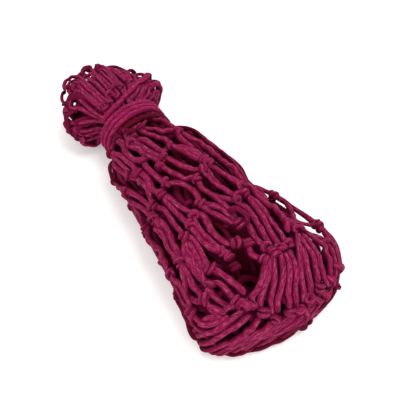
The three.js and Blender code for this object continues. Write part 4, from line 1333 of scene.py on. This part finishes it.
def side_mesh_loose():
    build = Build()
    up = np.array([0, 0.3, 1.0])
    for i, (points, radius) in enumerate(((SIDE_LONG, 2.5), (SIDE_JOIN, 2.0))):
        path = spline(points, FINE_STEP)
        build.tube(path, radius, wide=1.12, flat=0.86, seed=41 + i, up=up)
    for i, place in enumerate(SIDE_KNOTS):
        along = np.array([1.0, 0.3, 0])
        path = knot_curve(np.array(place, float), along, up, size=0.92, seed=77 + i)
        build.tube(path, 2.2, step=1.2, sides=12, seed=51 + i, up=up)
    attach(build.object("side_mesh_loose", net_mat, "net_cord", "side_mesh"), "side_mesh")


def arch_loop_strand():
    build = Build()
    up = np.array([0, 1.0, 0.3])
    build.tube(spline(ARCH, 1.0), 2.45, wide=1.1, flat=0.9, step=1.1, seed=61, up=up)
    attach(build.object("arch_loop_strand", net_mat, "net_cord", "arch_loop"), "arch_loop")


def foot_gather_cord():
    t = np.linspace(0, 2 * math.pi, 60)
    x, y = 240 + 10.5 * np.cos(t), -26 + 10.5 * np.sin(t)
    path = np.stack([x, y, 37.5 + 1.5 * np.sin(2 * t + 1)], 1)[:-1]
    build = Build()
    build.ring(path, 2.9, up=(0, 0, 1), seed=71)
    obj = build.object("foot_gather_cord", shaded_inner_mat, "inner_cord", "foot_gather_loop")
    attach(obj, "bundle")


side_mesh_loose()
arch_loop_strand()
foot_gather_cord()


# ---------------------------------------------------------------- packed net at the heart, coloured dark as painted shade
def core(name, start, end, inset, rings, sides, pit=False):
    """A furrowed solid inside the bundle from station start to end."""
    stations = np.linspace(start, end, rings)
    phase = np.random.default_rng(99).uniform(0, 6.28, 12)
    points, faces = [], []
    for x in stations:
        # rounded off over the last 14 mm at each end
        u = min((x - start) / 14.0, (end - x) / 14.0, 1.0)
        swell = max(math.sqrt(max(1 - (1 - u) ** 2, 0.0)), 0.05)
        mid, half, thick = profile(x)
        half, height = max(half - inset, 3) * swell, max(thick / 2 - inset, 3) * swell
        for j in range(sides):
            a = 2 * math.pi * j / sides
            furrow = (
                1
                + 0.09 * math.sin(9 * a + 0.05 * x + phase[0])
                + 0.06 * math.sin(15 * a - 0.08 * x + phase[1])
                + 0.04 * math.sin(0.35 * x + 4 * a)
            )
            y = mid + half * furrow * rounded(math.cos(a))
            z = float(middle_z(x)) + height * furrow * rounded(math.sin(a))
            if pit and z > 10:
                z = z - (z - 9) * pit_shape(x, y, 24, 27)
            points.append((x, y, z))
    for i in range(rings - 1):
        for j in range(sides):
            k = (j + 1) % sides
            row, after = i * sides, (i + 1) * sides
            faces.append((row + j, row + k, after + k, after + j))
    for x in (stations[0], stations[-1]):
        points.append((x, float(profile(x)[0]), float(middle_z(x))))
    tip, last = rings * sides, (rings - 1) * sides
    for j in range(sides):
        k = (j + 1) % sides
        faces.append((tip, k, j))
        faces.append((tip + 1, last + j, last + k))
    mesh = bpy.data.meshes.new(name)
    mesh.from_pydata(((np.array(points) + SHIFT) / 1000).tolist(), [], faces)
    uvs = mesh.uv_layers.new(name="CordUV")
    for loop in mesh.loops:
        x, y, _z = points[loop.vertex_index]
        uvs.data[loop.index].uv = (y / 20, x / 20)
    for face in mesh.polygons:
        face.use_smooth = True
    mesh.update()
    return link_object(name, mesh, shaded_core_mat)


# painted shade: the packed solid's colours are far darker than the cords', for the shade deep in the
# bundle
shaded_core_mat = cord_material(
    "packed_net", base=(0.070, 0.0013, 0.011), deep=(0.035, 0.0008, 0.006),
    light=(0.05, 0.003, 0.012), speck_and_highlight=0.3, sheen=0.0,
)
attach(core("packed_net_core", 24, 262, inset=24.5, rings=110, sides=72, pit=True), "bundle")
bend_head(core("packed_mouth_core", -58, -8, inset=19.0, rings=24, sides=40))
bend_throat(core("packed_throat_core", -7.5, 25, inset=11.0, rings=24, sides=40))


# ---------------------------------------------------------------- floor, lights, camera (metres)
def aim(obj, location, target):
    obj.location = location
    direction = Vector(target) - Vector(location)
    obj.rotation_euler = direction.to_track_quat("-Z", "Y").to_euler()
    bpy.context.scene.collection.objects.link(obj)


def make_floor():
    material = bpy.data.materials.new("floor")
    material.use_nodes = True
    surface = {
        "Base Color": (0.92, 0.915, 0.905, 1),
        "Emission Color": (1, 1, 1, 1),
        "Emission Strength": 0.16,
        "Roughness": 0.9,
    }
    for key, value in surface.items():
        material.node_tree.nodes["Principled BSDF"].inputs[key].default_value = value
    bpy.ops.mesh.primitive_plane_add(size=12, location=(0, 0, 0))
    floor = bpy.context.object
    floor.name = "floor"
    floor.data.materials.append(material)


def make_world():
    world = bpy.data.worlds.new("studio")
    bpy.context.scene.world = world
    world.use_nodes = True
    background = world.node_tree.nodes["Background"]
    background.inputs["Color"].default_value = (1.0, 0.99, 0.98, 1)
    background.inputs["Strength"].default_value = 0.86


def disk_light(name, location, size, energy):
    light = bpy.data.lights.new(name, "AREA")
    light.shape = "DISK"
    light.size = size
    light.energy = energy
    aim(bpy.data.objects.new(name, light), location, target=(0, 0, 0.03))


def make_camera():
    camera = bpy.data.cameras.new("camera")
    camera.lens = 59.8
    camera.sensor_width = 36
    camera.clip_start = 0.01
    obj = bpy.data.objects.new("camera", camera)
    aim(obj, location=(0.3638, -0.2302, 0.513), target=(0.0106, 0.0158, 0.0))
    bpy.context.scene.camera = obj


make_floor()
make_world()
disk_light("key", location=(0.25, 0.45, 1.40), size=1.15, energy=12.5)
disk_light("fill", location=(0.9, -0.9, 0.9), size=1.0, energy=9)
make_camera()
bpy.context.scene.view_settings.view_transform = "Standard"
bpy.context.scene.view_settings.look = "None"
